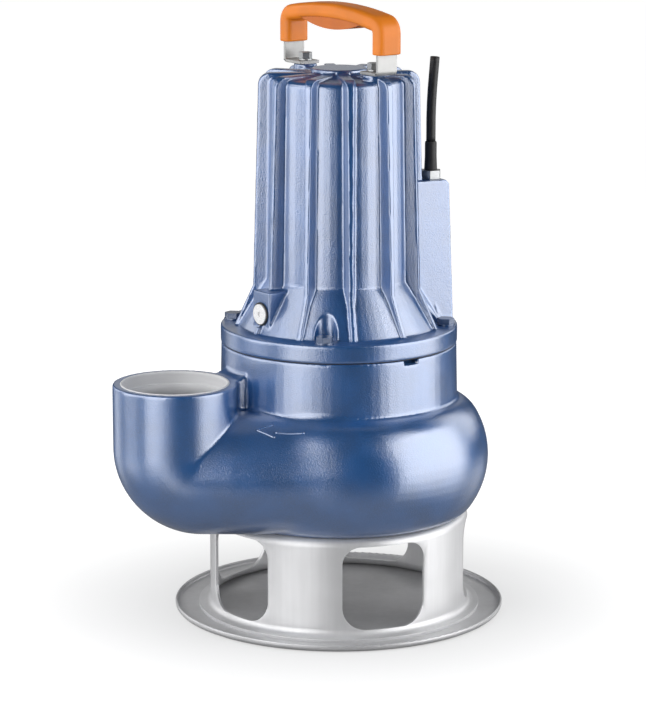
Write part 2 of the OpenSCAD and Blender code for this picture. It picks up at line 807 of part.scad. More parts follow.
module lower_bearing_balls() {
    ball_set(lower_bore_d, lower_out_d, lower_bearing_w, lower_ball_d, lower_ball_count,
        lower_bearing_z);
}

module upper_bearing_outer() {
    outer_ring(upper_bore_d, upper_out_d, upper_bearing_w, upper_ball_d, upper_bearing_z);
}

module upper_bearing_inner() {
    inner_ring(upper_bore_d, upper_out_d, upper_bearing_w, upper_ball_d, upper_bearing_z);
}

module upper_bearing_balls() {
    ball_set(upper_bore_d, upper_out_d, upper_bearing_w, upper_ball_d, upper_ball_count,
        upper_bearing_z);
}

module wave_washer() {
    color(stainless) ring(upper_out_d / 2 - 3.5, upper_out_d / 2 - 0.3,
        upper_bearing_z + upper_bearing_w + 0.2, wave_washer_h - 0.4);
}

// Slot of the stator in plan, drawn smaller by an inset for the winding in it
module slot_outline(inset) {
    bore_r = stator_bore_d / 2;
    narrow = bore_r * PI / slot_count * 0.5;
    wide = narrow * 1.25;
    polygon([
        [bore_r + 3 + inset, -narrow + inset], [bore_r + 13 - inset, -wide + inset],
        [bore_r + 13 - inset, wide - inset], [bore_r + 3 + inset, narrow - inset]
    ]);
}

module stator_core() {
    bore_r = stator_bore_d / 2;
    color(lamination) translate([0, 0, stack_z]) linear_extrude(stack_h) difference() {
        circle(r = stack_r);
        circle(r = bore_r);
        around(slot_count, 0) {
            slot_outline(0);
            translate([bore_r - 1, -1]) square([5, 2]);
        }
    }
}

module stator_windings() {
    color(copper) {
        translate([0, 0, stack_z - 3]) linear_extrude(stack_h + 6)
            around(slot_count, 0) slot_outline(0.3);
        for (z = [stack_z - winding_overhang, stack_z + stack_h + 2])
            ring(stator_bore_d / 2 + 3, stack_r - 4, z, winding_overhang - 2);
    }
}

// Stepped shaft, keyed for the impeller and tapped for its screw
module shaft() {
    shoulder_z = lower_bearing_z + lower_bearing_w;
    color(stainless) difference() {
        rotate_extrude() polygon([
            [0, stub_foot], [stub_d / 2 - 0.5, stub_foot], [stub_d / 2, stub_foot + 0.5],
            [stub_d / 2, impeller_back], [seal_shaft_d / 2, impeller_back],
            [seal_shaft_d / 2, shaft_ring_z],
            [lower_bore_d / 2 - 1, shaft_ring_z], [lower_bore_d / 2 - 1, lower_bearing_z - 0.05],
            [lower_bore_d / 2, lower_bearing_z - 0.05], [lower_bore_d / 2, shoulder_z],
            [rotor_shaft_d / 2, shoulder_z], [rotor_shaft_d / 2, stack_z + stack_h + 12],
            [upper_bore_d / 2 + 2.5, stack_z + stack_h + 16],
            [upper_bore_d / 2 + 2.5, upper_bearing_z], [upper_bore_d / 2, upper_bearing_z],
            [upper_bore_d / 2, shaft_top - 1], [upper_bore_d / 2 - 1, shaft_top], [0, shaft_top]
        ]);
        translate([0, 0, stub_foot - cut]) cylinder(d = impeller_screw_d, h = 24 + cut);
        translate([stub_d / 2 - key_w / 2 - fit, -key_w / 2 - fit, key_z - fit])
            cube([key_w, key_w + 2 * fit, key_l + 2 * fit]);
    }
}

module shaft_ring() {
    color(stainless) difference() {
        ring(lower_bore_d / 2 - 1 + fit, lower_bore_d / 2 + 3, shaft_ring_z, shaft_ring_t);
        translate([lower_bore_d / 2 - 4, -4, shaft_ring_z - cut]) cube([10, 8, 4]);
    }
}

module rotor_core() {
    color(lamination) ring(rotor_shaft_d / 2 + fit, rotor_r, stack_z, stack_h);
}

module rotor_end_rings() {
    color(machined) for (z = [stack_z - rotor_ring_h, stack_z + stack_h])
        ring(rotor_r - 12, rotor_r - 1, z, rotor_ring_h);
}

module lower_seal_seat() {
    color(ceramic) ring(seal_shaft_d / 2 + shaft_room, seal_seat_r - fit, lower_seat_z, seal_seat_h);
}

module lower_seal_ring() {
    color(black_rubber) ring(seal_shaft_d / 2 + fit, seal_seat_r - 1,
        lower_seat_z + seal_seat_h + run, seal_ring_h);
}

module upper_seal_ring() {
    color(black_rubber) ring(seal_shaft_d / 2 + fit, seal_seat_r - 1,
        upper_seat_z - seal_ring_h - run, seal_ring_h);
}

module upper_seal_seat() {
    color(ceramic) ring(seal_shaft_d / 2 + shaft_room, seal_seat_r - fit, upper_seat_z, seal_seat_h);
}

// Coil spring between the two turning seal rings
module seal_spring() {
    wire_r = 1.2;
    coil_r = seal_shaft_d / 2 + wire_r + 0.4;
    foot = lower_seat_z + seal_seat_h + run + seal_ring_h + wire_r;
    rise = upper_seat_z - run - seal_ring_h - wire_r - foot;
    turns = 5;
    steps = turns * 20;
    sides = 6;
    rings = [for (i = [0:steps]) let (a = 360 * turns * i / steps, z = foot + rise * i / steps)
        [for (k = [0:sides - 1]) let (b = 360 * k / sides, r = coil_r + wire_r * cos(b))
            [r * cos(a), r * sin(a), z + wire_r * sin(b)]]];
    color(stainless) tube(rings, sides);
}

// Closes a list of rings, each of the same number of points, into one solid
module tube(rings, sides) {
    last = (len(rings) - 1) * sides;
    walls = [for (i = [0:len(rings) - 2], k = [0:sides - 1])
        let (a = i * sides + k, b = i * sides + (k + 1) % sides) [a, a + sides, b + sides, b]];
    flat = [for (wall = walls) each [[wall[0], wall[1], wall[2]], [wall[0], wall[2], wall[3]]]];
    polyhedron(
        points = [for (one = rings) each one],
        faces = concat([[for (k = [0:sides - 1]) k]], flat,
            [[for (k = [0:sides - 1]) last + sides - 1 - k]])
    );
}

// One vane in plan, curved back from the hub to the rim
module vane_outline() {
    bend_r = impeller_d * 0.32;
    intersection() {
        translate([hub_r, -bend_r]) difference() {
            circle(r = bend_r + vane_t / 2);
            circle(r = bend_r - vane_t / 2);
        }
        translate([hub_r - 4, -impeller_d / 2]) square([impeller_d / 2, impeller_d / 2 + 4]);
        circle(r = impeller_d / 2 - 1);
    }
}

module impeller() {
    shroud_z = impeller_back - shroud_t;
    rim_r = impeller_d / 2;
    color(cast_grey) difference() {
        union() {
            rotate_extrude() polygon([
                [0, hub_foot], [hub_r - 1, hub_foot], [hub_r, hub_foot + 1],
                [hub_r, shroud_z - 8], [hub_r + 8, shroud_z], [rim_r, shroud_z],
                [rim_r, impeller_back - 1.5], [rim_r - 1.5, impeller_back], [0, impeller_back]
            ]);
            intersection() {
                around(vane_count, 0) translate([0, 0, vane_foot])
                    linear_extrude(vane_h + 1) vane_outline();
                rotate_extrude() polygon([
                    [0, vane_foot], [hub_r + 6, vane_foot], [rim_r, vane_foot + 8],
                    [rim_r, shroud_z + 1], [0, shroud_z + 1]
                ]);
            }
        }
        translate([0, 0, hub_foot - cut]) cylinder(d = stub_d + 2 * fit, h = impeller_back);
        translate([0, -key_w / 2 - fit, hub_foot - cut])
            cube([stub_d / 2 + key_w / 2 + fit, key_w + 2 * fit, impeller_back - hub_foot + 2 * cut]);
    }
}

module impeller_key() {
    color(machined) translate([stub_d / 2 - key_w / 2, -key_w / 2, key_z])
        cube([key_w - fit, key_w, key_l]);
}

module impeller_washer() {
    color(stainless) ring(impeller_screw_d / 2 + ease, washer_r, hub_foot - washer_t, washer_t);
}

module impeller_screw() {
    head_foot = hub_foot - washer_t - impeller_screw_d * 0.7;
    color(stainless) difference() {
        union() {
            translate([0, 0, head_foot])
                cylinder(d = impeller_screw_d * 1.6, h = impeller_screw_d * 0.7);
            translate([0, 0, head_foot + 1])
                cylinder(d = impeller_screw_d - 2 * fit, h = impeller_screw_d * 0.7 + washer_t + 20);
        }
        translate([0, 0, head_foot - cut]) hexagon(impeller_screw_d * 0.75, 3 + cut);
    }
}

module gland_nut() {
    color(stainless) rotate([0, 0, box_az]) translate([gland_r, gland_y, box_top]) difference() {
        union() {
            hexagon(gland_flats, gland_nut_h);
            translate([0, 0, -gland_thread_l])
                cylinder(d = gland_thread_d - 2 * fit, h = gland_thread_l + cut);
        }
        translate([0, 0, -gland_thread_l - cut])
            cylinder(d = boot_d + 2 * fit, h = gland_thread_l + gland_nut_h + 2 * cut);
    }
}

module gland_seal() {
    color(black_rubber) rotate([0, 0, box_az]) translate([gland_r, gland_y, 0])
        ring(boot_d / 2 + fit, gland_thread_d / 2 - fit, boot_foot,
            gland_hole_l - gland_thread_l - 0.05);
}

// Moulded strain relief: a stem through the gland and a taper above it
module cable_boot() {
    color(black_rubber) rotate([0, 0, box_az]) translate([gland_r, gland_y, 0])
        rotate_extrude() polygon([
            [0, boot_foot], [boot_d / 2, boot_foot], [boot_d / 2, nut_top + 1],
            [boot_tip_d / 2, nut_top + boot_l], [0, nut_top + boot_l]
        ]);
}

module power_cable() {
    rings = [for (p = cable_route) [for (k = [0:cable_sides - 1])
        let (a = 360 * k / cable_sides)
        [cable_x + p[0] + cable_d / 2 * cos(a), cable_y + p[1] + cable_d / 2 * sin(a),
         cable_foot + p[2]]]];
    color(black_rubber) tube(rings, cable_sides);
}

// Half of the strap in side view, thickened by a margin for the slot that takes it
module strap_half(grow) {
    t = strap_t + 2 * grow;
    out = leg_out + grow;
    foot = strap_foot - grow;
    top = strap_top + grow;
    translate([foot_in - grow, foot]) square([out - strap_bend_r - foot_in, t]);
    translate([out - strap_bend_r, foot + strap_bend_r]) bend(strap_bend_r, t, 1, -1);
    translate([out - t, foot + strap_bend_r])
        square([t, top - strap_top_bend_r - foot - strap_bend_r]);
    translate([out - strap_top_bend_r, top - strap_top_bend_r]) bend(strap_top_bend_r, t, 1, 1);
    translate([-cut, top - t]) square([out - strap_top_bend_r + cut, t]);
}

module strap_solid(grow) {
    translate([0, strap_w / 2 + grow, 0]) rotate([90, 0, 0]) linear_extrude(strap_w + 2 * grow) {
        strap_half(grow);
        mirror([1, 0]) strap_half(grow);
    }
}

module handle_strap() {
    color(stainless) rotate([0, 0, handle_az]) difference() {
        strap_solid(0);
        for (s = [-1, 1]) {
            translate([s * handle_bolt_r, 0, strap_foot - cut])
                cylinder(d = handle_bolt_d + 2 * ease, h = strap_t + 2 * cut);
            translate([s * grip_screw_x, 0, strap_top - strap_t - cut])
                cylinder(d = grip_screw_d + 2 * ease, h = strap_t + 2 * cut);
        }
    }
}

module handle_washers() {
    color(stainless) around(2, handle_az) translate([handle_bolt_r, 0, 0])
        ring(handle_bolt_d / 2 + ease, handle_bolt_d, strap_foot + strap_t, handle_washer_t);
}

module handle_bolts() {
    head_z = strap_foot + strap_t + handle_washer_t;
    color(stainless) around(2, handle_az) translate([handle_bolt_r, 0, head_z]) {
        hexagon(handle_bolt_d * 1.667, handle_head_h);
        translate([0, 0, -handle_bolt_l]) cylinder(d = handle_bolt_d - 2 * fit, h = handle_bolt_l + cut);
    }
}

// Centre line of the grip, from its left end over the crown to its right end:
// each point is [x, z, direction of the outside]
function grip_path() =
    let (half = concat(
        [[-leg_r, grip_low, 180], [-leg_r, (grip_low + grip_corner_z) / 2, 180]],
        [for (i = [0:8]) let (a = 180 - (90 - grip_turn) * i / 8)
            [-grip_bar_half + grip_corner_r * cos(a), grip_corner_z + grip_corner_r * sin(a), a]],
        [for (i = [1:5]) let (a = 90 + grip_turn * (5 - i) / 5)
            [grip_bar_r * cos(a), grip_bar_z + grip_bar_r * sin(a), a]]
    ))
    concat(half, [for (i = [len(half) - 2:-1:0]) [-half[i][0], half[i][1], 180 - half[i][2]]]);

// Rounded section of the grip: [along the outside's direction, across]
function grip_ring() =
    let (round_r = 5, a = grip_t / 2 - round_r, b = grip_w / 2 - round_r)
    [for (q = [0:3], i = [0:3]) let (t = 90 * q + 30 * i,
        sx = (q == 0 || q == 3) ? 1 : -1, sy = q < 2 ? 1 : -1)
        [sx * a + round_r * cos(t), sy * b + round_r * sin(t)]];

module grip_solid() {
    section = grip_ring();
    rings = [for (p = grip_path()) [for (s = section)
        [p[0] + s[0] * cos(p[2]), -s[1], p[1] + s[0] * sin(p[2])]]];
    tube(rings, len(section));
}

// Side view of the lens that closes the grip from below
module insert_outline(grow) {
    intersection() {
        translate([0, insert_low + insert_r]) circle(r = insert_r + grow, $fn = 360);
        translate([-insert_half * 1.2, insert_low - 5])
            square([insert_half * 2.4, insert_top + grow - insert_low + 5]);
    }
}

module insert_solid(grow) {
    translate([0, insert_w / 2 + grow, 0]) rotate([90, 0, 0])
        linear_extrude(insert_w + 2 * grow) insert_outline(grow);
}

module handle_grip() {
    color(grip_orange) rotate([0, 0, handle_az]) difference() {
        grip_solid();
        strap_solid(ease);
        insert_solid(ease);
        translate([-grip_screw_x * 1.3, -insert_w / 2, insert_top - 1])
            cube([grip_screw_x * 2.6, insert_w, strap_t + 1]);
        for (s = [-1, 1]) translate([s * grip_screw_x, 0, insert_top])
            cylinder(d = grip_screw_d, h = grip_screw_top - insert_top + 1);
    }
}

module grip_insert() {
    color(grip_orange) rotate([0, 0, handle_az]) difference() {
        insert_solid(0);
        for (s = [-1, 1]) translate([s * grip_screw_x, 0, insert_low - cut]) {
            cylinder(d = grip_screw_d + ease, h = insert_top - insert_low + 2 * cut);
            cylinder(d = grip_screw_head_d + 2 * ease,
                h = grip_screw_head_z + grip_screw_head_t - insert_low + cut);
        }
    }
}

module grip_screws() {
    color(black_rubber) rotate([0, 0, handle_az]) for (s = [-1, 1])
        translate([s * grip_screw_x, 0, grip_screw_head_z]) {
            cylinder(d = grip_screw_head_d, h = grip_screw_head_t);
            cylinder(d = grip_screw_d - 2 * fit, h = grip_screw_top - grip_screw_head_z);
        }
}

base_plate();
stand_column();
stand_screws();
pump_body();
body_o_ring();
seal_plate();
casing_gasket();
motor_casing();
flange_bolts();
oil_plug();
oil_plug_ring();
bearing_bracket();
bracket_ring();
lower_bearing_outer();
lower_bearing_inner();
lower_bearing_balls();
upper_bearing_outer();
upper_bearing_inner();
upper_bearing_balls();
wave_washer();
stator_core();
stator_windings();
shaft();
shaft_ring();
rotor_core();
rotor_end_rings();
lower_seal_seat();
lower_seal_ring();
seal_spring();
upper_seal_ring();
upper_seal_seat();
impeller();
impeller_key();
impeller_washer();
impeller_screw();
gland_nut();
gland_seal();
cable_boot();
power_cable();
handle_strap();
handle_bolts();
handle_washers();
handle_grip();
grip_insert();
grip_screws();
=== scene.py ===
"""Blender scene of the submersible sewage pump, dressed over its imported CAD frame.

Everything is in metres and in the CAD's frame: the shaft's axis is Z, the ground is Z = 0, the
discharge port is on the -X side, and the camera looks along +Y. Sizes in the classes are in
millimetres, as on a drawing, and are turned into metres where a mesh is made.
"""

import logging
import math
from dataclasses import dataclass, field
from enum import Enum
from typing import ClassVar, Iterable, Sequence

import bmesh
import bpy
from mathutils import Matrix, Quaternion, Vector
from mathutils.bvhtree import BVHTree

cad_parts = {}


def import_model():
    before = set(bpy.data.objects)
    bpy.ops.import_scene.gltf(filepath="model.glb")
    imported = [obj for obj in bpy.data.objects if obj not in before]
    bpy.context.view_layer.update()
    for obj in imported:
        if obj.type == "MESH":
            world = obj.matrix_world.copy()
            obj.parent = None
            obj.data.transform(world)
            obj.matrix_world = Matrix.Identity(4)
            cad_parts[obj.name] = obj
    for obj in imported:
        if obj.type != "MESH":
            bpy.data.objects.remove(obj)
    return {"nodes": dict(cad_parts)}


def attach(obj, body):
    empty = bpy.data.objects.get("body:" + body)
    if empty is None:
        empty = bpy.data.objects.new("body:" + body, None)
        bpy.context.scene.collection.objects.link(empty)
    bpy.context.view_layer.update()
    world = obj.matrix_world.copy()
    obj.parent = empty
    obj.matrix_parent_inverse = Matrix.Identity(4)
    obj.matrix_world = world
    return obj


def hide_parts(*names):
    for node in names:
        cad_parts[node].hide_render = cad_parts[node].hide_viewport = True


log = logging.getLogger("sewage_pump")

MM = 0.001
PER_METRE = 1000.0

Colour = tuple[float, float, float]
Point = tuple[float, float, float]
Pair = tuple[float, float]
Feeds = dict[str, object]
Piece = bpy.types.Object
Socket = bpy.types.NodeSocket
Outputs = bpy.types.NodeOutputs


class Body(Enum):
    """The bodies that new pieces ride on."""

    HOUSING = "housing"
    ROTOR = "rotor"


class Slot(Enum):
    """The record's material slots, named with each new piece."""

    CAST_BLUE = "cast_blue"
    CAST_GREY = "cast_grey"
    PORT_FACE = "port_face"
    GRIP = "grip_orange"
    CABLE = "cable_black"


# Node trees


class Tree:
    """Short calls for the nodes and links of one shader tree."""

    mix_a, mix_b, mix_out = 6, 7, 2  # the Mix node's sockets for colours
    noise_low, noise_high = 0.35, 0.65  # most of a noise lies between these

    def __init__(self, tree: bpy.types.NodeTree) -> None:
        """Keeps the tree that the nodes go into."""
        self.tree = tree

    @classmethod
    def fresh(cls, owner: bpy.types.Material | bpy.types.World) -> "Tree":
        """Returns the emptied tree of a material or a world."""
        owner.use_nodes = True
        owner.node_tree.nodes.clear()
        return cls(owner.node_tree)

    def add(self, kind: str, inputs: dict | None = None, **settings: object) -> bpy.types.Node:
        """Adds a node.

        Args:
            kind: Blender's name of the node's type.
            inputs: values, sockets or nodes for the node's inputs, by name or index.
            settings: properties of the node itself.

        Returns:
            The new node.
        """
        node = self.tree.nodes.new(kind)
        for key, value in settings.items():
            setattr(node, key, value)
        for key, value in (inputs or {}).items():
            self.feed(node.inputs[key], value)
        return node

    def feed(self, socket: Socket, value: object) -> None:
        """Links a socket to a node or an output, or sets its own value."""
        if isinstance(value, bpy.types.Node):
            value = value.outputs[0]
        if isinstance(value, Socket):
            self.tree.links.new(value, socket)
        else:
            socket.default_value = value

    def math(self, operation: str, a: object, b: object) -> Socket:
        """Returns the output of a Math node."""
        return self.add("ShaderNodeMath", {0: a, 1: b}, operation=operation).outputs[0]

    def times(self, a: object, b: object) -> Socket:
        """Returns the product of two values."""
        return self.math("MULTIPLY", a, b)

    def plus(self, a: object, b: object) -> Socket:
        """Returns the sum of two values."""
        return self.math("ADD", a, b)

    def repeats(self, size_mm: object) -> Socket:
        """Returns how often a size in millimetres goes into a metre."""
        return self.math("DIVIDE", PER_METRE, size_mm)

    def blend(self, factor: object, a: object, b: object) -> Socket:
        """Returns colour a where the factor is 0 and colour b where it is 1."""
        first, second = ((*c, 1.0) if isinstance(c, tuple) else c for c in (a, b))
        inputs = {0: factor, self.mix_a: first, self.mix_b: second}
        return self.add("ShaderNodeMix", inputs, data_type="RGBA").outputs[self.mix_out]

    def remap(
        self, value: object, low: float, high: float, start: float = 0.0, end: float = 1.0
    ) -> Socket:
        """Returns the value mapped from the range low to high onto start to end, clamped."""
        inputs = {0: value, 1: low, 2: high, 3: start, 4: end}
        return self.add("ShaderNodeMapRange", inputs).outputs[0]

    def spread(self, noise: object, end: float = 1.0) -> Socket:
        """Returns a noise spread from its usual range onto 0 to the given end."""
        return self.remap(noise, self.noise_low, self.noise_high, 0.0, end)

    def place(self) -> Socket:
        """Returns the object's own coordinates, in metres."""
        return self.add("ShaderNodeTexCoord").outputs["Object"]

    def noise(self, scale: object, detail: float, where: object = None) -> Socket:
        """Returns a grey noise of the given scale, in repeats per metre."""
        where = self.place() if where is None else where
        inputs = {"Vector": where, "Scale": scale, "Detail": detail}
        return self.add("ShaderNodeTexNoise", inputs).outputs[0]

    def seen(self, path: Outputs) -> Socket:
        """Returns 1 for the rays that the camera sees directly or through a clear surface."""
        return self.math("MAXIMUM", path["Is Camera Ray"], path["Is Transmission Ray"])


class Effect:
    """Base of the shared shader node groups, each built once."""

    name: ClassVar[str] = ""
    inputs: ClassVar[dict[str, float]] = {}
    outputs: ClassVar[tuple[str, ...]] = ()

    def __init__(self) -> None:
        """Finds the group, or builds it on first use."""
        found = bpy.data.node_groups.get(self.name)
        if found is None:
            found = bpy.data.node_groups.new(self.name, "ShaderNodeTree")
            sockets = found.interface
            kind = "NodeSocketFloat"
            for label, value in self.inputs.items():
                socket = sockets.new_socket(name=label, in_out="INPUT", socket_type=kind)
                socket.default_value = value
            for label in self.outputs:
                sockets.new_socket(name=label, in_out="OUTPUT", socket_type=kind)
            tree = Tree(found)
            tree.add("NodeGroupOutput", self.wire(tree, tree.add("NodeGroupInput").outputs))
        self.group = found

    def wire(self, tree: Tree, given: Outputs) -> Feeds:
        """Builds the group's nodes.

        Args:
            tree: the group's tree.
            given: the group's inputs.

        Returns:
            What feeds each of the group's outputs.
        """
        raise NotImplementedError

    def put(self, tree: Tree, **values: float) -> Outputs:
        """Places the group in a material.

        Args:
            tree: the material's tree.
            values: the group's inputs, with underscores for spaces.

        Returns:
            The placed group's outputs.
        """
        node = tree.add("ShaderNodeGroup", node_tree=self.group)
        for key, value in values.items():
            node.inputs[key.replace("_", " ")].default_value = value
        return node.outputs


class CastGrain(Effect):
    """The fine sand texture of a casting, with slow waves in its surface and its tone."""

    name = "cast grain"
    inputs = {"Grain": 1.0, "Wave": 30.0, "Wave Height": 1.0}
    outputs = ("Height", "Fleck", "Tone")
    pit_scale, pit_share = 0.8, 0.45

    def wire(self, tree: Tree, given: Outputs) -> Feeds:
        """Mixes a round grain, wider pits and a slow wave; sizes are in millimetres."""
        fine = tree.repeats(given["Grain"])
        slow = tree.repeats(given["Wave"])
        grain = tree.noise(fine, 3.0)
        cells = {"Vector": tree.place(), "Scale": tree.times(fine, self.pit_scale)}
        pits = tree.add("ShaderNodeTexVoronoi", cells).outputs["Distance"]
        wave = tree.noise(slow, 1.0)
        sand = tree.plus(grain, tree.times(pits, self.pit_share))
        height = tree.plus(sand, tree.times(wave, given["Wave Height"]))
        return {"Height": height, "Fleck": tree.remap(grain, 0.42, 0.66), "Tone": wave}


class EdgeWearAndHighlight(Effect):
    """A broken mask along edges, where metal is rubbed bright, and where the blue cast paint
    gets a painted highlight.
    """

    name = "edge wear and highlight"
    inputs = {"Width": 1.0, "Break": 6.0}
    outputs = ("Mask",)
    flat, bent = 0.99, 0.86

    def wire(self, tree: Tree, given: Outputs) -> Feeds:
        """Compares a rounded normal with the true one, and breaks the line up with noise."""
        radius = tree.times(given["Width"], MM)
        soft = tree.add("ShaderNodeBevel", {"Radius": radius}, samples=4)
        true = tree.add("ShaderNodeNewGeometry").outputs["Normal"]
        dot = tree.add("ShaderNodeVectorMath", {0: soft, 1: true}, operation="DOT_PRODUCT")
        edge = tree.remap(dot.outputs["Value"], self.flat, self.bent)
        broken = tree.remap(tree.noise(tree.repeats(given["Break"]), 4.0), 0.38, 0.62, 0.2)
        return {"Mask": tree.times(edge, broken)}


class BrushedLines(Effect):
    """Fine parallel lines of brushed, drawn or turned metal."""

    name = "brushed lines"
    inputs = {"Line": 0.4, "Across X": 1.0, "Across Y": 1.0, "Across Z": 0.03}
    outputs = ("Height", "Tone")
    broad = 120.0

    def wire(self, tree: Tree, given: Outputs) -> Feeds:
        """Stretches a noise; a small factor makes the lines long in that direction."""
        along = {i: given[f"Across {axis}"] for i, axis in enumerate("XYZ")}
        factors = tree.add("ShaderNodeCombineXYZ", along)
        inputs = {0: tree.place(), 1: factors}
        where = tree.add("ShaderNodeVectorMath", inputs, operation="MULTIPLY")
        lines = tree.noise(tree.repeats(given["Line"]), 3.0, where)
        broad = tree.noise(tree.math("DIVIDE", self.broad, given["Line"]), 2.0, where)
        return {"Height": lines, "Tone": tree.remap(broad, 0.3, 0.7)}


class SettledDust(Effect):
    """A thin, patchy veil of dust on what faces upwards."""

    name = "settled dust"
    inputs = {"Amount": 0.2, "Patch": 25.0}
    outputs = ("Mask",)

    def wire(self, tree: Tree, given: Outputs) -> Feeds:
        """Multiplies how far the surface faces up with a patchy noise."""
        normal = tree.add("ShaderNodeNewGeometry").outputs["Normal"]
        up = tree.add("ShaderNodeSeparateXYZ", {0: normal}).outputs["Z"]
        patchy = tree.remap(tree.noise(tree.repeats(given["Patch"]), 5.0), 0.35, 0.7, 0.2)
        veil = tree.times(tree.remap(up, 0.3, 0.95), patchy)
        return {"Mask": tree.times(veil, given["Amount"])}


# Finishes


@dataclass(frozen=True)
class Finish:
    """One finish of the pump, made into a material on first use."""

    name: str
    colour: Colour
    roughness: float
    metallic: float = 0.0
    depth_mm: float = 0.02

    def material(self) -> bpy.types.Material:
        """Returns the finish's material."""
        found = bpy.data.materials.get(self.name)
        if found is None:
            found = bpy.data.materials.new(self.name)
            found.diffuse_color = (*self.colour, 1.0)
            tree = Tree.fresh(found)
            feeds = {"Metallic": self.metallic, **self.surface(tree)}
            shader = tree.add("ShaderNodeBsdfPrincipled", feeds)
            tree.add("ShaderNodeOutputMaterial", {"Surface": shader})
        return found

    def surface(self, tree: Tree) -> Feeds:
        """Returns what feeds each input of the finish's shader."""
        raise NotImplementedError

    def bump(self, tree: Tree, height: object) -> bpy.types.Node:
        """Returns a Bump node whose full height is the finish's depth."""
        inputs = {"Height": height, "Distance": self.depth_mm * MM, "Strength": 1.0}
        return tree.add("ShaderNodeBump", inputs)

    def shade(self, factor: float) -> Colour:
        """Returns the finish's colour made lighter or darker."""
        return tuple(min(1.0, c * factor) for c in self.colour)

    def between(self, tree: Tree, factor: object, low: float, high: float) -> Socket:
        """Returns the colour between two of its shades, by a factor from 0 to 1."""
        return tree.blend(factor, self.shade(low), self.shade(high))

    def edges_worn_and_highlighted(
        self, tree: Tree, under: object, width: float, gap: float, share: float, factor: float
    ) -> Socket:
        """Returns a colour with a share of another shade along its edges, as wear on metal and
        plastic, and on the cast paint as a painted highlight.
        """
        wear = EdgeWearAndHighlight().put(tree, Width=width, Break=gap)
        return tree.blend(tree.times(wear["Mask"], share), under, self.shade(factor))

    def rough(self, tree: Tree, value: object, span: Pair, less: float, more: float) -> Socket:
        """Returns the roughness, a little less at the span's start and more at its end."""
        return tree.remap(value, *span, self.roughness - less, self.roughness + more)


@dataclass(frozen=True)
class CastPaint(Finish):
    """Glossy two-pack paint with a little metal in it, over a fine sand casting."""

    grain_mm: float = 1.0
    depth_mm: float = 0.05
    metallic: float = 0.35
    gloss: float = 1.0
    gloss_ior: float = 2.65
    gloss_roughness: float = 0.21
    dust_colour: Colour = (0.42, 0.43, 0.43)

    def surface(self, tree: Tree) -> Feeds:
        """Flecks the colour with the grain and lightens the edges as a painted highlight."""
        grain = CastGrain().put(tree, Grain=self.grain_mm, Wave=26.0, Wave_Height=1.6)
        dust = SettledDust().put(tree, Amount=0.1, Patch=32.0)
        tone = self.between(tree, tree.spread(grain["Tone"]), 0.88, 1.1)
        flecked = tree.blend(tree.times(grain["Fleck"], 0.2), tone, self.shade(1.8))
        # painted highlight: the edges are lightened to stand in for the bright lines that light
        # draws along the ribs
        painted_edge_highlight = self.edges_worn_and_highlighted(tree, flecked, 1.4, 9.0, 0.3, 2.4)
        veiled = tree.blend(dust["Mask"], painted_edge_highlight, self.dust_colour)
        rough = self.rough(tree, grain["Height"], (0.7, 2.0), 0.05, 0.07)
        sand = self.bump(tree, grain["Height"])
        return {
            "Base Color": veiled,
            "Roughness": tree.plus(rough, tree.times(dust["Mask"], 0.4)),
            "IOR": 1.5,
            "Coat Weight": self.gloss,
            "Coat IOR": self.gloss_ior,
            "Coat Roughness": self.gloss_roughness,
            "Coat Normal": sand,
            "Normal": sand,
        }


@dataclass(frozen=True)
class SheetSteel(Finish):
    """Pressed or drawn stainless sheet with a satin surface."""

    line_mm: float = 0.5
    stretch: Point = (1.0, 1.0, 0.05)
    metallic: float = 0.75
    depth_mm: float = 0.012
    dust_colour: Colour = (0.45, 0.44, 0.42)

    def surface(self, tree: Tree) -> Feeds:
        """Varies tone and gloss along the lines, with bright edges and a little dust."""
        across = {f"Across_{axis}": value for axis, value in zip("XYZ", self.stretch)}
        lines = BrushedLines().put(tree, Line=self.line_mm, **across)
        cloud = CastGrain().put(tree, Grain=1.6, Wave=38.0, Wave_Height=3.0)
        dust = SettledDust().put(tree, Amount=0.12, Patch=22.0)
        tone = self.between(tree, lines["Tone"], 0.97, 1.03)
        mottled = tree.blend(tree.spread(cloud["Tone"], 0.5), tone, self.shade(0.88))
        bright = self.edges_worn_and_highlighted(tree, mottled, 0.8, 5.0, 0.5, 1.35)
        rough = self.rough(tree, lines["Height"], (0.3, 0.7), 0.06, 0.08)
        both = tree.plus(lines["Height"], tree.times(cloud["Height"], 0.5))
        return {
            "Base Color": tree.blend(dust["Mask"], bright, self.dust_colour),
            "Roughness": tree.plus(rough, tree.times(dust["Mask"], 0.5)),
            "Normal": self.bump(tree, both),
        }


@dataclass(frozen=True)
class TurnedSteel(Finish):
    """Bright turned, ground or plated metal of fasteners, bearings and shaft."""

    line_mm: float = 0.25
    metallic: float = 0.95
    handling: float = 0.35
    depth_mm: float = 0.008

    def surface(self, tree: Tree) -> Feeds:
        """Fine lines round the part, a faint cloud of handling and rubbed edges."""
        long_round = {"Across_X": 0.06, "Across_Y": 0.06, "Across_Z": 1.0}
        lines = BrushedLines().put(tree, Line=self.line_mm, **long_round)
        handled = tree.remap(tree.noise(90.0, 4.0), 0.4, 0.65, 0.0, self.handling)
        tone = self.between(tree, lines["Tone"], 0.92, 1.06)
        cloudy = tree.blend(handled, tone, self.shade(0.75))
        rough = tree.remap(lines["Height"], 0.3, 0.7, -0.05, 0.07)
        return {
            "Base Color": self.edges_worn_and_highlighted(tree, cloudy, 0.4, 3.0, 0.5, 1.3),
            "Roughness": tree.plus(rough, self.roughness),
            "Normal": self.bump(tree, lines["Height"]),
        }


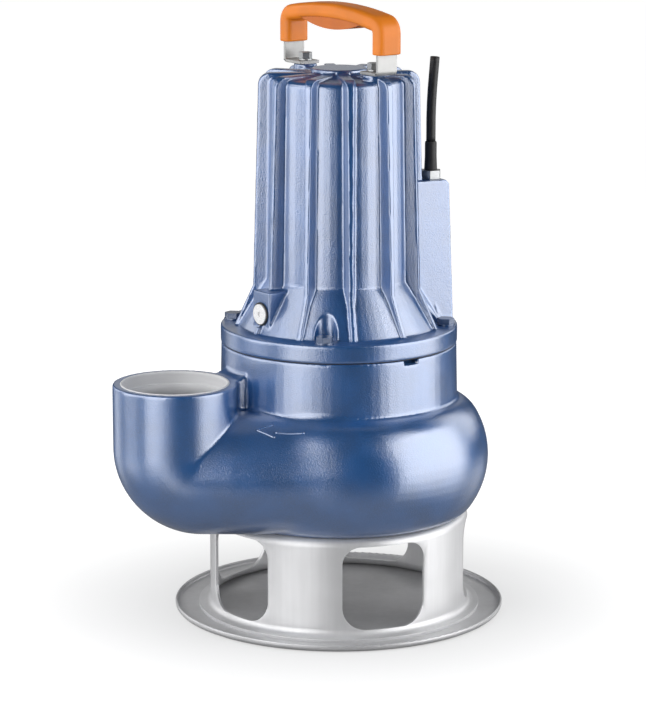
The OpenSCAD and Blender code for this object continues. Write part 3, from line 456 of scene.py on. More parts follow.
@dataclass(frozen=True)
class MachinedCasting(Finish):
    """A casting's bare or primed face, with open pores and tool marks."""

    tool_mm: float = 0.6
    depth_mm: float = 0.03

    def surface(self, tree: Tree) -> Feeds:
        """Mixes tool marks with the grain that is left, and darkens the pores."""
        long_round = {"Across_X": 0.05, "Across_Y": 0.05, "Across_Z": 1.0}
        lines = BrushedLines().put(tree, Line=self.tool_mm, **long_round)
        grain = CastGrain().put(tree, Grain=0.8, Wave=18.0, Wave_Height=0.5)
        tone = self.between(tree, lines["Tone"], 0.94, 1.05)
        pores = tree.remap(grain["Height"], 0.62, 0.5, 0.0, 0.35)
        both = tree.plus(lines["Height"], tree.times(grain["Height"], 0.6))
        rough = tree.remap(lines["Tone"], 0.0, 1.0, -0.05, 0.08)
        return {
            "Base Color": tree.blend(pores, tone, self.shade(0.5)),
            "Roughness": tree.plus(rough, self.roughness),
            "Normal": self.bump(tree, both),
        }


@dataclass(frozen=True)
class MouldedPlastic(Finish):
    """Moulded polyamide with a fine spark-eroded texture."""

    texture_mm: float = 0.55

    def surface(self, tree: Tree) -> Feeds:
        """A matt grain, a slow change of tone and paler rubbed edges."""
        grain = CastGrain().put(tree, Grain=self.texture_mm, Wave=22.0, Wave_Height=1.0)
        tone = self.between(tree, tree.spread(grain["Tone"]), 0.93, 1.05)
        return {
            "Base Color": self.edges_worn_and_highlighted(tree, tone, 0.9, 7.0, 0.25, 1.5),
            "Roughness": self.rough(tree, grain["Height"], (0.6, 1.6), 0.06, 0.1),
            "Specular IOR Level": 0.4,
            "Subsurface Weight": 0.06,
            "Subsurface Radius": (0.004, 0.0015, 0.0006),
            "Normal": self.bump(tree, grain["Height"]),
        }


@dataclass(frozen=True)
class Rubber(Finish):
    """Black rubber of cable, strain relief, gaskets and seals."""

    grain_mm: float = 0.7
    dust_colour: Colour = (0.2, 0.2, 0.19)

    def surface(self, tree: Tree) -> Feeds:
        """A dull grain with a grey bloom where the rubber is dry."""
        grain = CastGrain().put(tree, Grain=self.grain_mm, Wave=9.0, Wave_Height=0.6)
        dust = SettledDust().put(tree, Amount=0.16, Patch=12.0)
        bloom = tree.remap(grain["Tone"], 0.4, 0.7, 0.0, 0.4)
        tone = tree.blend(bloom, self.colour, self.shade(2.2))
        return {
            "Base Color": tree.blend(dust["Mask"], tone, self.dust_colour),
            "Roughness": self.rough(tree, grain["Height"], (0.6, 1.3), 0.08, 0.1),
            "Specular IOR Level": 0.45,
            "Normal": self.bump(tree, grain["Height"]),
        }


@dataclass(frozen=True)
class StackedSheet(Finish):
    """Edges of stacked electrical sheet, or of wire laid in turns."""

    pitch_mm: float = 0.5
    metallic: float = 0.7
    depth_mm: float = 0.06
    wave_scale: ClassVar[float] = 314.0  # at which the wave repeats each millimetre

    def surface(self, tree: Tree) -> Feeds:
        """Even lines at the stack's pitch, dulled by varnish."""
        inputs = {"Vector": tree.place(), "Scale": self.wave_scale / self.pitch_mm}
        inputs |= {"Distortion": 0.6, "Detail": 1.0}
        bands = tree.add("ShaderNodeTexWave", inputs, bands_direction="Z")
        wave = bands.outputs["Fac"]
        varnish = tree.spread(tree.noise(70.0, 3.0), 0.5)
        tone = self.between(tree, wave, 0.6, 1.15)
        return {
            "Base Color": tree.blend(varnish, tone, self.shade(0.8)),
            "Roughness": tree.remap(wave, 0.0, 1.0, self.roughness + 0.12, self.roughness),
            "Normal": self.bump(tree, wave),
        }


@dataclass(frozen=True)
class GroundCeramic(Finish):
    """Lapped ceramic of the seal seats."""

    depth_mm: float = 0.005

    def surface(self, tree: Tree) -> Feeds:
        """A clouded body under a hard polish."""
        cloud = tree.noise(240.0, 4.0)
        return {
            "Base Color": self.between(tree, cloud, 0.9, 1.06),
            "Roughness": self.rough(tree, cloud, (0.3, 0.7), 0.04, 0.08),
            "Coat Weight": 0.5,
            "Normal": self.bump(tree, cloud),
        }


BODY_PAINT = CastPaint("blue cast paint", (0.006, 0.08, 0.265), 0.34, depth_mm=0.12)
# painted shade: the bolts' blue is a darker copy of the body's paint, for the shade in their
# pockets
SHADED_BOLT_PAINT = CastPaint(
    "shaded blue bolt paint", (0.012, 0.045, 0.13), 0.36, grain_mm=0.6, depth_mm=0.02, gloss=0.5
)
STAND_SHEET = SheetSteel(
    "satin stainless stand", (0.63, 0.63, 0.64), 0.4, metallic=0.5, depth_mm=0.006
)
PLATE_SHEET = SheetSteel(
    "satin stainless plate", (0.55, 0.55, 0.56), 0.4, stretch=(0.08, 0.08, 1.0), metallic=0.5
)
STRAP_SHEET = SheetSteel(
    "brushed strap", (0.4, 0.4, 0.395), 0.4, line_mm=0.3, stretch=(0.5, 0.5, 0.04), metallic=0.6
)
FASTENER = TurnedSteel("bright fastener", (0.42, 0.43, 0.44), 0.36)
BEARING = TurnedSteel("bearing steel", (0.7, 0.71, 0.73), 0.16, line_mm=0.15)
PLUG_STEEL = TurnedSteel(
    "polished plug", (0.82, 0.82, 0.82), 0.28, line_mm=0.12, metallic=0.25, handling=0.05
)
ALUMINIUM = TurnedSteel("cast aluminium ring", (0.72, 0.72, 0.73), 0.42, line_mm=0.5)
BLACK_SCREW = TurnedSteel("blacked screw", (0.03, 0.03, 0.032), 0.36, metallic=0.6)
PORT_FACE = MachinedCasting("pale machined port", (0.6, 0.6, 0.61), 0.38)
GREY_CASTING = MachinedCasting("grey primed casting", (0.3, 0.31, 0.32), 0.5, metallic=0.1)
ORANGE_GRIP = MouldedPlastic("orange grip", (0.7, 0.19, 0.008), 0.36)
# painted shade: a darker copy of the grip's orange, for the shade under the grip and in the gap
# round the insert
SHADED_ORANGE_INSERT = MouldedPlastic("shaded orange insert", (0.5, 0.12, 0.006), 0.42)
BLACK_RUBBER = Rubber("black rubber", (0.014, 0.014, 0.015), 0.5)
SHEATH = Rubber("cable sheath", (0.011, 0.011, 0.012), 0.42, grain_mm=0.5)
CORE = Rubber("dark wire core", (0.03, 0.02, 0.018), 0.5, grain_mm=0.3)
LAMINATION = StackedSheet("stacked lamination", (0.3, 0.31, 0.33), 0.4)
COPPER = StackedSheet(
    "varnished copper wire", (0.62, 0.27, 0.11), 0.35, pitch_mm=1.2, metallic=0.85
)
CERAMIC = GroundCeramic("lapped ceramic", (0.8, 0.77, 0.7), 0.2)


# Meshes

WELD_DISTANCE = 1e-6
SMOOTH_FACTOR = 0.5
LATHE_SIDES = 144


def add_object(name: str, data: bpy.types.ID) -> Piece:
    """Adds an object with the given data to the scene, and returns it."""
    made = bpy.data.objects.new(name, data)
    bpy.context.scene.collection.objects.link(made)
    return made


def shade_smooth(mesh: bpy.types.Mesh) -> None:
    """Shades all faces of a mesh smooth."""
    for face in mesh.polygons:
        face.use_smooth = True


def finish_piece(piece: Piece, finish: Finish) -> None:
    """Gives a piece one finish on all of its faces.

    Args:
        piece: the piece to dress.
        finish: its finish.
    """
    piece.data.materials.clear()
    piece.data.materials.append(finish.material())
    for face in piece.data.polygons:
        face.material_index = 0


def mesh_piece(name: str, points: Sequence[Point], faces: Sequence[Sequence[int]]) -> Piece:
    """Makes a smooth-shaded mesh object at the origin.

    Args:
        name: the piece's name.
        points: corners, in metres.
        faces: corner indices of each face.

    Returns:
        The new piece.
    """
    mesh = bpy.data.meshes.new(name)
    mesh.from_pydata([tuple(p) for p in points], [], [tuple(f) for f in faces])
    mesh.validate()
    edit = bmesh.new()
    edit.from_mesh(mesh)
    bmesh.ops.recalc_face_normals(edit, faces=edit.faces)
    edit.to_mesh(mesh)
    edit.free()
    shade_smooth(mesh)
    return add_object(name, mesh)


def sweep(name: str, rings: Sequence[Sequence[Point]], closed: bool, capped: bool) -> Piece:
    """Joins rings of equal length into a skin.

    Args:
        name: the piece's name.
        rings: the rings, each a list of points in metres.
        closed: whether the last ring joins the first.
        capped: whether the two end rings are closed with a face.

    Returns:
        The new piece.
    """
    count, sides = len(rings), len(rings[0])
    faces: list[Sequence[int]] = []
    for i in range(count if closed else count - 1):
        j = (i + 1) % count
        for k in range(sides):
            n = (k + 1) % sides
            faces.append((i * sides + k, j * sides + k, j * sides + n, i * sides + n))
    if capped:
        faces.append(range(sides))
        faces.append(range((count - 1) * sides, count * sides))
    return mesh_piece(name, [p for ring in rings for p in ring], faces)


def lathe(
    name: str,
    profile: Sequence[Pair],
    centre: Pair,
    pitch: float = 0.0,
    span: Pair = (-math.inf, math.inf),
) -> Piece:
    """Turns a closed profile round a vertical axis, as a ring or as a thread.

    Args:
        name: the piece's name.
        profile: closed outline of radius and height, in millimetres.
        centre: the axis's place, in millimetres.
        pitch: how far the profile climbs in one turn, in millimetres.
        span: heights that the climbing profile is kept between.

    Returns:
        The new piece.
    """
    rings = []
    for step in range(LATHE_SIDES):
        turn = 2 * math.pi * step / LATHE_SIDES
        rise = pitch * step / LATHE_SIDES
        ring = []
        for r, z in profile:
            x, y = centre[0] + r * math.cos(turn), centre[1] + r * math.sin(turn)
            ring.append((x * MM, y * MM, min(max(z + rise, span[0]), span[1]) * MM))
        rings.append(ring)
    return sweep(name, rings, True, False)


def tube(name: str, points: Sequence[Vector], radii: Sequence[float], sides: int) -> Piece:
    """Makes a round tube along points, with a radius at each.

    Args:
        name: the piece's name.
        points: the centre line, in metres.
        radii: the radius at each point, in metres.
        sides: sides of the tube.

    Returns:
        The new piece.
    """
    along_side = 0.95
    angles = [2 * math.pi * k / sides for k in range(sides)]
    rings = []
    side = Vector((0, 1, 0))
    for i, (centre, radius) in enumerate(zip(points, radii)):
        ahead = (points[min(i + 1, len(points) - 1)] - points[max(i - 1, 0)]).normalized()
        if abs(ahead.dot(side)) > along_side:
            side = Vector((1, 0, 0))
        across = ahead.cross(side).normalized()
        side = across.cross(ahead).normalized()
        spokes = (math.cos(a) * across + math.sin(a) * side for a in angles)
        rings.append([tuple(centre + radius * spoke) for spoke in spokes])
    return sweep(name, rings, False, True)


def apply_modifiers(piece: Piece) -> None:
    """Replaces a piece's mesh by what its modifiers make of it, and removes them."""
    graph = bpy.context.evaluated_depsgraph_get()
    made = bpy.data.meshes.new_from_object(piece.evaluated_get(graph))
    piece.modifiers.clear()
    piece.data = made


@dataclass(frozen=True)
class Blend:
    """A zone of a casting where two forms run into each other through a wide fillet.

    Attributes:
        centre: the zone's middle.
        reach: half its size along each axis.
        rounds: passes of smoothing at its middle.
    """

    centre: Point
    reach: Point
    rounds: int

    def weight(self, place: Vector) -> float:
        """Returns how strongly the zone smooths a place, from 0 at its edge to 1 inside."""
        off = [(place[i] / MM - self.centre[i]) / self.reach[i] for i in range(3)]
        far = math.sqrt(sum(c * c for c in off))
        return min(1.0, max(0.0, 2.0 - 2.0 * far))


@dataclass
class SoftSkin:
    """A node's solid with the soft edges and fillets that it has as a casting or moulding.

    Attributes:
        node: the CAD node whose form it takes.
        name: the piece's name.
        voxel: size of the net.
        rounds: passes of smoothing, which set how soft the edges are.
        blend: a zone that is smoothed more, if there is one.
    """

    node: str
    name: str
    voxel: float
    rounds: int
    blend: Blend | None = None

    def build(self, nodes: dict[str, Piece]) -> Piece:
        """Nets the solid afresh and smooths its edges.

        Args:
            nodes: the frame's CAD nodes.

        Returns:
            The piece that stands for the node.
        """
        mesh = nodes[self.node].data.copy()
        edit = bmesh.new()
        edit.from_mesh(mesh)
        bmesh.ops.remove_doubles(edit, verts=edit.verts, dist=WELD_DISTANCE)
        edit.to_mesh(mesh)
        edit.free()
        piece = add_object(self.name, mesh)
        net = piece.modifiers.new("net", "REMESH")
        net.mode, net.voxel_size, net.adaptivity = "VOXEL", self.voxel * MM, 0.0
        soft = piece.modifiers.new("soft edges", "SMOOTH")
        soft.factor, soft.iterations = SMOOTH_FACTOR, self.rounds
        apply_modifiers(piece)
        if self.blend:
            self.fillet(piece, self.blend)
        shade_smooth(piece.data)
        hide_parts(self.node)
        return piece

    def fillet(self, piece: Piece, zone: Blend) -> None:
        """Smooths the piece further inside a zone.

        Args:
            piece: the netted piece.
            zone: where it is smoothed, and how much.
        """
        group = piece.vertex_groups.new(name="fillet")
        for vertex in piece.data.vertices:
            strength = zone.weight(vertex.co)
            if strength > 0:
                group.add([vertex.index], strength, "REPLACE")
        step = piece.modifiers.new("fillet", "SMOOTH")
        step.factor, step.iterations = SMOOTH_FACTOR, zone.rounds
        step.vertex_group = group.name
        apply_modifiers(piece)


@dataclass
class SlotCut:
    """A crisp rectangular slot cut into a skin from outside, in millimetres and degrees.

    Attributes:
        azimuth: its direction from the shaft, from +X.
        inner: distance from the shaft to its inner wall.
        width: of the slot.
        low: height of its floor.
        high: height that it is open to.
        depth: how far the cutter reaches outwards from the inner wall.
    """

    azimuth: float
    inner: float
    width: float
    low: float
    high: float
    depth: float = 40.0

    def cut(self, skin: Piece) -> None:
        """Cuts the slot.

        Args:
            skin: the closed skin that it is cut into.
        """
        reach, half = self.inner + self.depth, self.width / 2
        outline = [(self.inner, -half), (reach, -half), (reach, half), (self.inner, half)]
        turn = Matrix.Rotation(math.radians(self.azimuth), 3, "Z")
        levels = (self.low, self.high)
        points = [turn @ Vector((x, y, z)) * MM for z in levels for x, y in outline]
        sides = [(i, (i + 1) % 4, (i + 1) % 4 + 4, i + 4) for i in range(4)]
        cutter = mesh_piece(f"{skin.name}_cutter", points, [range(4), range(4, 8), *sides])
        step = skin.modifiers.new("slot", "BOOLEAN")
        step.operation, step.solver, step.object = "DIFFERENCE", "EXACT", cutter
        apply_modifiers(skin)
        bpy.data.objects.remove(cutter)


def soften(node: Piece, width_mm: float) -> None:
    """Rounds a CAD node's sharp edges with a bevel modifier.

    Args:
        node: the node's object.
        width_mm: how far the rounding reaches, in millimetres.
    """
    sharp = math.radians(32.0)
    weld = node.modifiers.new("weld", "WELD")
    weld.merge_threshold = WELD_DISTANCE
    bevel = node.modifiers.new("edge", "BEVEL")
    bevel.width, bevel.segments = width_mm * MM, 2
    bevel.limit_method, bevel.angle_limit = "ANGLE", sharp
    bevel.harden_normals, bevel.use_clamp_overlap = False, True


def in_metres(points: Iterable[Point]) -> list[Vector]:
    """Turns points in millimetres into vectors in metres."""
    return [Vector(p) * MM for p in points]


# Studio


@dataclass(frozen=True)
class SoftBox:
    """An area lamp that faces the pump, in metres, degrees and watts.

    Attributes:
        name: the lamp's name.
        azimuth: its direction from the camera's side, towards +X.
        elevation: its angle above the horizon.
        distance: from the point that it faces.
        width, height: of the lamp.
        power: of the lamp.
        roll: turn about the direction it faces, which leans its top to the left.
    """

    name: str
    azimuth: float
    elevation: float
    distance: float
    width: float
    height: float
    power: float
    roll: float = 0.0

    def build(self, target: Vector) -> None:
        """Makes the lamp.

        Args:
            target: the point that it faces.
        """
        data = bpy.data.lights.new(self.name, "AREA")
        data.shape, data.size, data.size_y = "RECTANGLE", self.width, self.height
        data.energy = self.power
        turn, rise = math.radians(self.azimuth), math.radians(self.elevation)
        level = math.cos(rise)
        back = Vector((math.sin(turn) * level, -math.cos(turn) * level, math.sin(rise)))
        lamp = add_object(self.name, data)
        lamp.location = target + self.distance * back
        facing = (-back).to_track_quat("-Z", "Y")
        lean = Quaternion((0, 0, 1), math.radians(self.roll))
        lamp.rotation_euler = (facing @ lean).to_euler()
        lamp.visible_camera = False


@dataclass
class Studio:
    """Camera, lamps, world and floor, in metres and degrees; lens and sensor are in mm."""

    camera_back: float = 2.5
    camera_height: float = 0.7622
    camera_pitch: float = 12.303
    camera_yaw: float = 0.312
    lens: float = 149.51
    sensor: float = 36.0
    target: Vector = field(default_factory=lambda: Vector((0, 0, 0.26)))
    ambient: float = 0.2
    reflected: float = 0.012
    floor_half: float = 20.0
    floor_drop: float = 0.0004  # under the ground, so that no face lies in the floor
    near: float = 0.13
    far: float = 0.38
    # painted shadow: the floor glows less within near than beyond far, so a ring of shade lies
    # round the pump
    painted_shadow_lift: float = 0.52  # how bright the floor looks within near
    far_lift: float = 0.95  # how bright it looks beyond far
    floor_glow: float = 0.012  # how bright it looks in reflections
    floor_shine: float = 0.85
    slant: Pair = (0.45, 0.8)  # the facings where its mirroring grows
    # Azimuth, elevation, distance, width, height, power and, where it isn't 0, roll
    boxes: tuple[SoftBox, ...] = (
        SoftBox("left softbox", -38, 11, 1.05, 0.84, 0.95, 7.0, 20),
        SoftBox("far left softbox", -82, 8, 1.05, 0.62, 0.7, 3.6),
        SoftBox("right softbox", 75, 13, 1.1, 1.5, 1.05, 15),
        SoftBox("upper left softbox", -65, 42, 1.1, 1.0, 0.34, 2.6),
        SoftBox("upper right softbox", 66, 42, 1.1, 0.5, 0.34, 1.0),
        SoftBox("top softbox", 180, 75, 1.6, 1.2, 0.9, 0.7),
        SoftBox("rear left softbox", 237, 14, 1.5, 0.7, 1.2, 4.5),
        SoftBox("rear right softbox", 130, 20, 1.5, 0.7, 1.1, 4),
        SoftBox("rear softbox", 180, 15, 1.5, 1.0, 0.7, 1.1),
    )

    def camera(self) -> None:
        """Makes the camera at the photo's angle."""
        data = bpy.data.cameras.new("camera")
        data.lens, data.sensor_width, data.sensor_fit = self.lens, self.sensor, "AUTO"
        data.clip_start, data.clip_end = 0.05, 100.0
        camera = add_object("camera", data)
        camera.location = (0.0, -self.camera_back, self.camera_height)
        tilt = math.radians(90 - self.camera_pitch)
        camera.rotation_euler = (tilt, 0.0, math.radians(self.camera_yaw))
        bpy.context.scene.camera = camera
        bpy.context.scene.view_settings.view_transform = "Standard"

    def world(self) -> None:
        """Makes a plain pale world, darker for the light that it gives and in reflections."""
        world = bpy.data.worlds.new("studio")
        tree = Tree.fresh(world)
        path = tree.add("ShaderNodeLightPath").outputs
        lit = tree.remap(path["Is Glossy Ray"], 0.0, 1.0, self.ambient, self.reflected)
        strength = tree.math("MAXIMUM", tree.seen(path), lit)
        inputs = {"Color": (0.94, 0.97, 1.0, 1.0), "Strength": strength}
        air = tree.add("ShaderNodeBackground", inputs)
        tree.add("ShaderNodeOutputWorld", {"Surface": air})
        bpy.context.scene.world = world

    def floor(self) -> None:
        """Makes a wide pale floor that keeps the pump's soft shadow, adds a painted ring of
        shade round its foot, and is clear from below.
        """
        half = self.floor_half
        corners = [(-half, -half, 0), (half, -half, 0), (half, half, 0), (-half, half, 0)]
        floor = mesh_piece("floor", corners, [range(4)])
        floor.location.z = -self.floor_drop
        material = bpy.data.materials.new("white floor")
        tree = Tree.fresh(material)
        path = tree.add("ShaderNodeLightPath").outputs
        glossy = path["Is Glossy Ray"]
        away = tree.add("ShaderNodeVectorMath", {0: tree.place()}, operation="LENGTH")
        # painted shadow: the floor glows less near the pump, on top of the shadow that the lamps
        # cast
        lift = tree.remap(
            away.outputs["Value"], self.near, self.far, self.painted_shadow_lift, self.far_lift
        )
        glow = tree.plus(tree.times(tree.seen(path), lift), tree.times(glossy, self.floor_glow))
        pale = {
            "Base Color": (0.3, 0.3, 0.3, 1.0),
            "Roughness": 0.9,
            "Specular IOR Level": 0.0,
            "Emission Color": (1.0, 1.0, 1.0, 1.0),
            "Emission Strength": glow,
        }
        matt = tree.add("ShaderNodeBsdfPrincipled", pale)
        mirror = {"Base Color": (0.9, 0.9, 0.9, 1.0), "Metallic": 1.0, "Roughness": 0.25}
        shiny = tree.add("ShaderNodeBsdfPrincipled", mirror)
        facing = tree.add("ShaderNodeLayerWeight", {"Blend": 0.5}).outputs["Facing"]
        shine = tree.times(tree.remap(facing, *self.slant), self.floor_shine)
        both = tree.add("ShaderNodeMixShader", {0: tree.times(glossy, shine), 1: matt, 2: shiny})
        below = tree.add("ShaderNodeNewGeometry").outputs["Backfacing"]
        clear = tree.add("ShaderNodeBsdfTransparent")
        sided = tree.add("ShaderNodeMixShader", {0: below, 1: both, 2: clear})
        tree.add("ShaderNodeOutputMaterial", {"Surface": sided})
        floor.data.materials.append(material)

    def build(self) -> None:
        """Builds the whole studio after the camera."""
        self.world()
        self.floor()
        for box in self.boxes:
            box.build(self.target)


# The pump


@dataclass
class Assembly:
    """A group of the pump's pieces, made over the frame's CAD nodes."""

    nodes: dict[str, Piece]

    def dress(self, finish: Finish, edge_mm: float, *names: str) -> None:
        """Gives CAD nodes a finish and soft edges.

        Args:
            finish: their finish.
            edge_mm: rounding of their edges, in millimetres, or 0 for none.
            names: the nodes.
        """
        for name in names:
            node = self.nodes[name]
            finish_piece(node, finish)
            if edge_mm:
                soften(node, edge_mm)
            log.info("node %s: %s", name, finish.name)

    def keep(self, piece: Piece, finish: Finish, slot: Slot, body: Body = Body.HOUSING) -> None:
        """Dresses a new piece and makes it ride on its body.

        Args:
            piece: the new piece.
            finish: its finish.
            slot: the record's slot for the piece's finish; not used.
            body: the body that it moves with.
        """
        finish_piece(piece, finish)
        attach(piece, body.value)
        log.info("piece %s: %s, %d faces", piece.name, finish.name, len(piece.data.polygons))


@dataclass
class PowerCable(Assembly):
    """The cable stub, straight out of its strain relief and leaning a little to the right."""

    foot: Point = (78.0, 22.03, 402.5)
    diameter: float = 8.0
    # How far each point of the route lies to the right, one step above the last
    lean: tuple[float, ...] = (
        0, 0, 0, 0, 0, 0, 0.1, 0.2, 0.3, 0.5, 0.7, 0.9, 1.2, 1.5, 1.8, 2.1, 2.4, 2.7, 3.0
    )
    step: float = 4.0
    edge: float = 0.35
    sides: int = 32
    core_count: int = 3
    core_sides: int = 16
    core_radius: float = 1.15
    core_ring: float = 1.6
    core_depth: float = 3.0
    core_proud: float = 0.1

    def path(self) -> list[Vector]:
        """Returns the route's points, in metres."""
        x, y, z = self.foot
        return in_metres((x + off, y, z + i * self.step) for i, off in enumerate(self.lean))

    def cores(self, end: Vector, ahead: Vector) -> list[Piece]:
        """Makes the cores that show at the cut end.

        Args:
            end: the middle of the cut end, in metres.
            ahead: the cable's direction there.

        Returns:
            The cores.
        """
        side = Vector((0, 1, 0))
        across = ahead.cross(side).normalized()
        cores = []
        for k in range(self.core_count):
            turn = 2 * math.pi * k / self.core_count
            off = (math.cos(turn) * across + math.sin(turn) * side) * self.core_ring * MM
            inside = end - ahead * self.core_depth * MM + off
            outside = end + ahead * self.core_proud * MM + off
            radii = [self.core_radius * MM] * 2
            core = tube(f"cable_core_{k + 1}", [inside, outside], radii, self.core_sides)
            self.keep(core, CORE, Slot.CABLE)
            cores.append(core)
        return cores

    def build(self) -> None:
        path = self.path()
        radius, edge = self.diameter / 2 * MM, self.edge * MM
        ahead = (path[-1] - path[-2]).normalized()
        points = [*path[:-1], path[-1] - ahead * edge, path[-1]]
        radii = [radius] * len(path) + [radius - edge]
        sheath = tube("power_cable_sheath", points, radii, self.sides)
        self.keep(sheath, SHEATH, Slot.CABLE)
        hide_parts("power_cable")
        cores = self.cores(path[-1], ahead)


@dataclass
class CableEntry(Assembly):
    """Gland nut, gland seal and strain relief on the cable box."""

    centre: Pair = (78.0, 22.03)
    nut_top: float = 378.0
    tip: float = 402.5
    foot_r: float = 5.4
    tip_r: float = 4.5
    sides: int = 48
    # Its lower rings, as height over nut_top and radius over foot_r
    body: tuple[Pair, ...] = ((-22.5, 0), (0.4, 0), (1.2, 0.1), (12, -0.35))
    # Its upper rings, as height under the tip and radius over tip_r
    step: tuple[Pair, ...] = ((1.6, 0.55), (0.9, 0.5), (0.5, 0.2), (0, 0))

    def build(self) -> None:
        """Makes the strain relief with its stepped tip, and dresses the rest."""
        x, y = self.centre
        rings = [(self.nut_top + up, self.foot_r + more) for up, more in self.body]
        rings += [(self.tip - down, self.tip_r + more) for down, more in self.step]
        line = in_metres((x, y, z) for z, _ in rings)
        boot = tube("strain_relief", line, [r * MM for _, r in rings], self.sides)
        self.keep(boot, BLACK_RUBBER, Slot.CABLE)
        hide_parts("cable_boot")
        self.dress(FASTENER, 0.35, "gland_nut")
        self.dress(BLACK_RUBBER, 0.0, "gland_seal")


@dataclass
class Stand(Assembly):
    """Base plate, windowed column and the screws that hold the pump on it."""

    def build(self) -> None:
        """Dresses the sheet-metal nodes."""
        self.dress(PLATE_SHEET, 0.4, "base_plate")
        self.dress(STAND_SHEET, 0.7, "stand_column")
        self.dress(FASTENER, 0.3, "stand_screws")


@dataclass
class PumpBody(Assembly):
    """The volute casting with its discharge port, and the cup above the impeller."""

    port: Pair = (-136.5, -77.0)
    rim: float = 213.5
    ledge: float = 203.5
    thread_foot: float = 179.5
    thread_top: float = 194.4
    thread_pitch: float = 2.309
    thread_r: float = 42.5
    # Points of one turn, as depth inside thread_r and height
    groove: tuple[Pair, ...] = ((0.05, 0), (0.75, 0.95), (0.75, 1.35))
    thread_wall: float = 1.2
    runout_l: float = 9.5
    arrow_top: float = 0.7
    arrow_r: float = 1.0
    arrow_steps: int = 12
    arrow_sides: int = 12
    strokes: tuple[tuple[str, Pair, Pair], ...] = (
        ("arrow_barb_front", (-67.9, -105.7), (-52.7, -111.9)),
        ("arrow_barb_back", (-67.9, -105.7), (-54.8, -100.5)),
        ("arrow_line", (-52.8, -107.8), (-28.2, -111.1)),
    )
    above: float = 230.0  # a height over the whole volute
    notch: SlotCut = field(default_factory=lambda: SlotCut(-53, 93.6, 14.2, 230.1, 236))
    blend: Blend = field(default_factory=lambda: Blend((-20, -110, 142), (72, 62, 52), 650))

    def port_face(self) -> None:
        """Makes the machined mouth of the port, with its rolled lip, ledge and neck."""
        rim, ledge, runout = self.rim, self.ledge, self.ledge - self.runout_l
        outline = [
            (45.6, rim - 4), (45.6, rim + 0.05), (45.2, rim + 0.45), (44.5, rim + 0.5),
            (43.9, rim + 0.2), (43.5, rim - 0.5), (43.35, rim - 1.6), (43.3, ledge + 1.0),
            (43.1, ledge + 0.35), (42.75, ledge + 0.1), (41.9, ledge + 0.05),
            (41.6, ledge - 0.3), (41.6, runout + 0.8), (42.2, runout), (44.6, runout),
            (44.6, rim - 4),
        ]
        mouth = lathe("port_mouth", outline, self.port)
        self.keep(mouth, PORT_FACE, Slot.PORT_FACE)

    def thread(self) -> None:
        """Makes the pipe thread as one climbing skin."""
        foot, top, pitch = self.thread_foot, self.thread_top, self.thread_pitch
        turns = int((top - foot) / pitch) + 2
        start = foot - pitch
        profile: list[Pair] = []
        for i in range(turns):
            z = start + i * pitch
            profile += [(self.thread_r - deep, z + up) for deep, up in self.groove]
        wall = self.thread_r + self.thread_wall
        profile += [(wall, start + turns * pitch), (wall, start)]
        ring = lathe("port_thread", profile, self.port, pitch=pitch, span=(foot, top))
        self.keep(ring, PORT_FACE, Slot.PORT_FACE)

    def arrow(self, skin: Piece) -> None:
        """Makes the raised arrow that gives the shaft's turn, lying on the volute.

        Args:
            skin: the casting that it lies on.
        """
        tree = BVHTree.FromObject(skin, bpy.context.evaluated_depsgraph_get())
        lift = (self.arrow_top - self.arrow_r) * MM
        for name, a, b in self.strokes:
            points = []
            for i in range(self.arrow_steps + 1):
                t = i / self.arrow_steps
                x, y = a[0] + (b[0] - a[0]) * t, a[1] + (b[1] - a[1]) * t
                hit = tree.ray_cast(Vector((x, y, self.above)) * MM, Vector((0, 0, -1)))
                points.append(hit[0] + hit[1] * lift)
            radii = [self.arrow_r * MM] * len(points)
            stroke = tube(name, points, radii, self.arrow_sides)
            self.keep(stroke, BODY_PAINT, Slot.CAST_BLUE)

    def build(self) -> None:
        """Makes the casting's skin and what is machined or raised on it."""
        casting = SoftSkin("pump_body", "volute_casting", voxel=1.3, rounds=5, blend=self.blend)
        skin = casting.build(self.nodes)
        self.keep(skin, BODY_PAINT, Slot.CAST_BLUE)
        self.notch.cut(skin)
        self.port_face()
        self.thread()
        self.arrow(skin)
        self.dress(GREY_CASTING, 0.5, "seal_plate")
        self.dress(BLACK_RUBBER, 0.0, "body_o_ring", "casing_gasket")


@dataclass
class MotorCasing(Assembly):
    """The ribbed casing with its flange bolts and oil plug."""

    def build(self) -> None:
        """Makes the casing's skin and dresses the fasteners on it."""
        casting = SoftSkin("motor_casing", "ribbed_casing", voxel=0.8, rounds=6)
        skin = casting.build(self.nodes)
        self.keep(skin, BODY_PAINT, Slot.CAST_BLUE)
        self.dress(SHADED_BOLT_PAINT, 0.5, "flange_bolts")
        self.dress(PLUG_STEEL, 0.3, "oil_plug")
        self.dress(BLACK_RUBBER, 0.0, "oil_plug_ring")


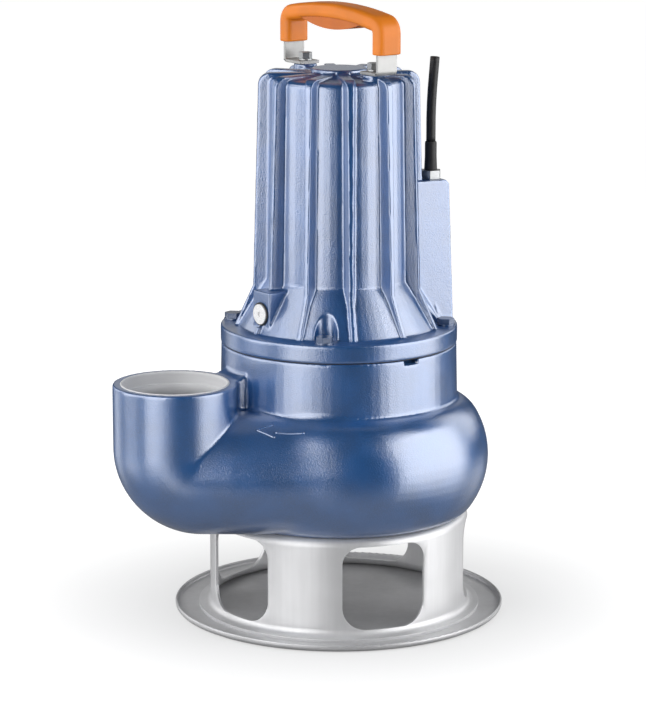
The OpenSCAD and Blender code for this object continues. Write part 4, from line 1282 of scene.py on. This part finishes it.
@dataclass
class Handle(Assembly):
    """Strap, bolts and washers, and the orange grip with its insert and screws."""

    def build(self) -> None:
        """Makes the grip's skin and dresses the rest."""
        self.dress(STRAP_SHEET, 0.4, "handle_strap")
        self.dress(FASTENER, 0.35, "handle_bolts")
        self.dress(FASTENER, 0.2, "handle_washers")
        moulding = SoftSkin("handle_grip", "moulded_grip", voxel=0.7, rounds=3)
        grip = moulding.build(self.nodes)
        self.keep(grip, ORANGE_GRIP, Slot.GRIP)
        self.dress(SHADED_ORANGE_INSERT, 0.4, "grip_insert")
        self.dress(BLACK_SCREW, 0.25, "grip_screws")


@dataclass
class Hydraulics(Assembly):
    """Impeller with its key, washer and screw, and the two shaft seals."""

    def build(self) -> None:
        """Makes the impeller's cast skin and dresses the seals."""
        casting = SoftSkin("impeller", "vortex_impeller", voxel=0.9, rounds=3)
        wheel = casting.build(self.nodes)
        self.keep(wheel, GREY_CASTING, Slot.CAST_GREY, Body.ROTOR)
        self.dress(FASTENER, 0.3, "impeller_key", "impeller_washer", "impeller_screw")
        self.dress(CERAMIC, 0.2, "lower_seal_seat", "upper_seal_seat")
        self.dress(BLACK_RUBBER, 0.4, "lower_seal_ring", "upper_seal_ring")
        self.dress(FASTENER, 0.0, "seal_spring")


@dataclass
class MotorInternals(Assembly):
    """Shaft, bearings, rotor and stator inside the casing."""

    def build(self) -> None:
        """Dresses the sealed nodes."""
        self.dress(BEARING, 0.3, "shaft", "shaft_ring", "bracket_ring", "wave_washer")
        for end in ("lower", "upper"):
            self.dress(BEARING, 0.3, f"{end}_bearing_outer", f"{end}_bearing_inner")
            self.dress(BEARING, 0.0, f"{end}_bearing_balls")
        self.dress(GREY_CASTING, 0.5, "bearing_bracket")
        self.dress(LAMINATION, 0.0, "stator_core", "rotor_core")
        self.dress(COPPER, 0.6, "stator_windings")
        self.dress(ALUMINIUM, 0.5, "rotor_end_rings")


def main() -> None:
    """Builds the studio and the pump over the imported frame."""
    logging.basicConfig(level=logging.INFO, format="%(message)s")
    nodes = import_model()["nodes"]
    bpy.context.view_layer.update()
    studio = Studio()
    studio.camera()
    PowerCable(nodes).build()
    studio.build()
    for group in (CableEntry, Stand, PumpBody, MotorCasing, Handle, Hydraulics, MotorInternals):
        group(nodes).build()
        log.info("%s built", group.__name__)


if __name__ == "__main__":
    main()
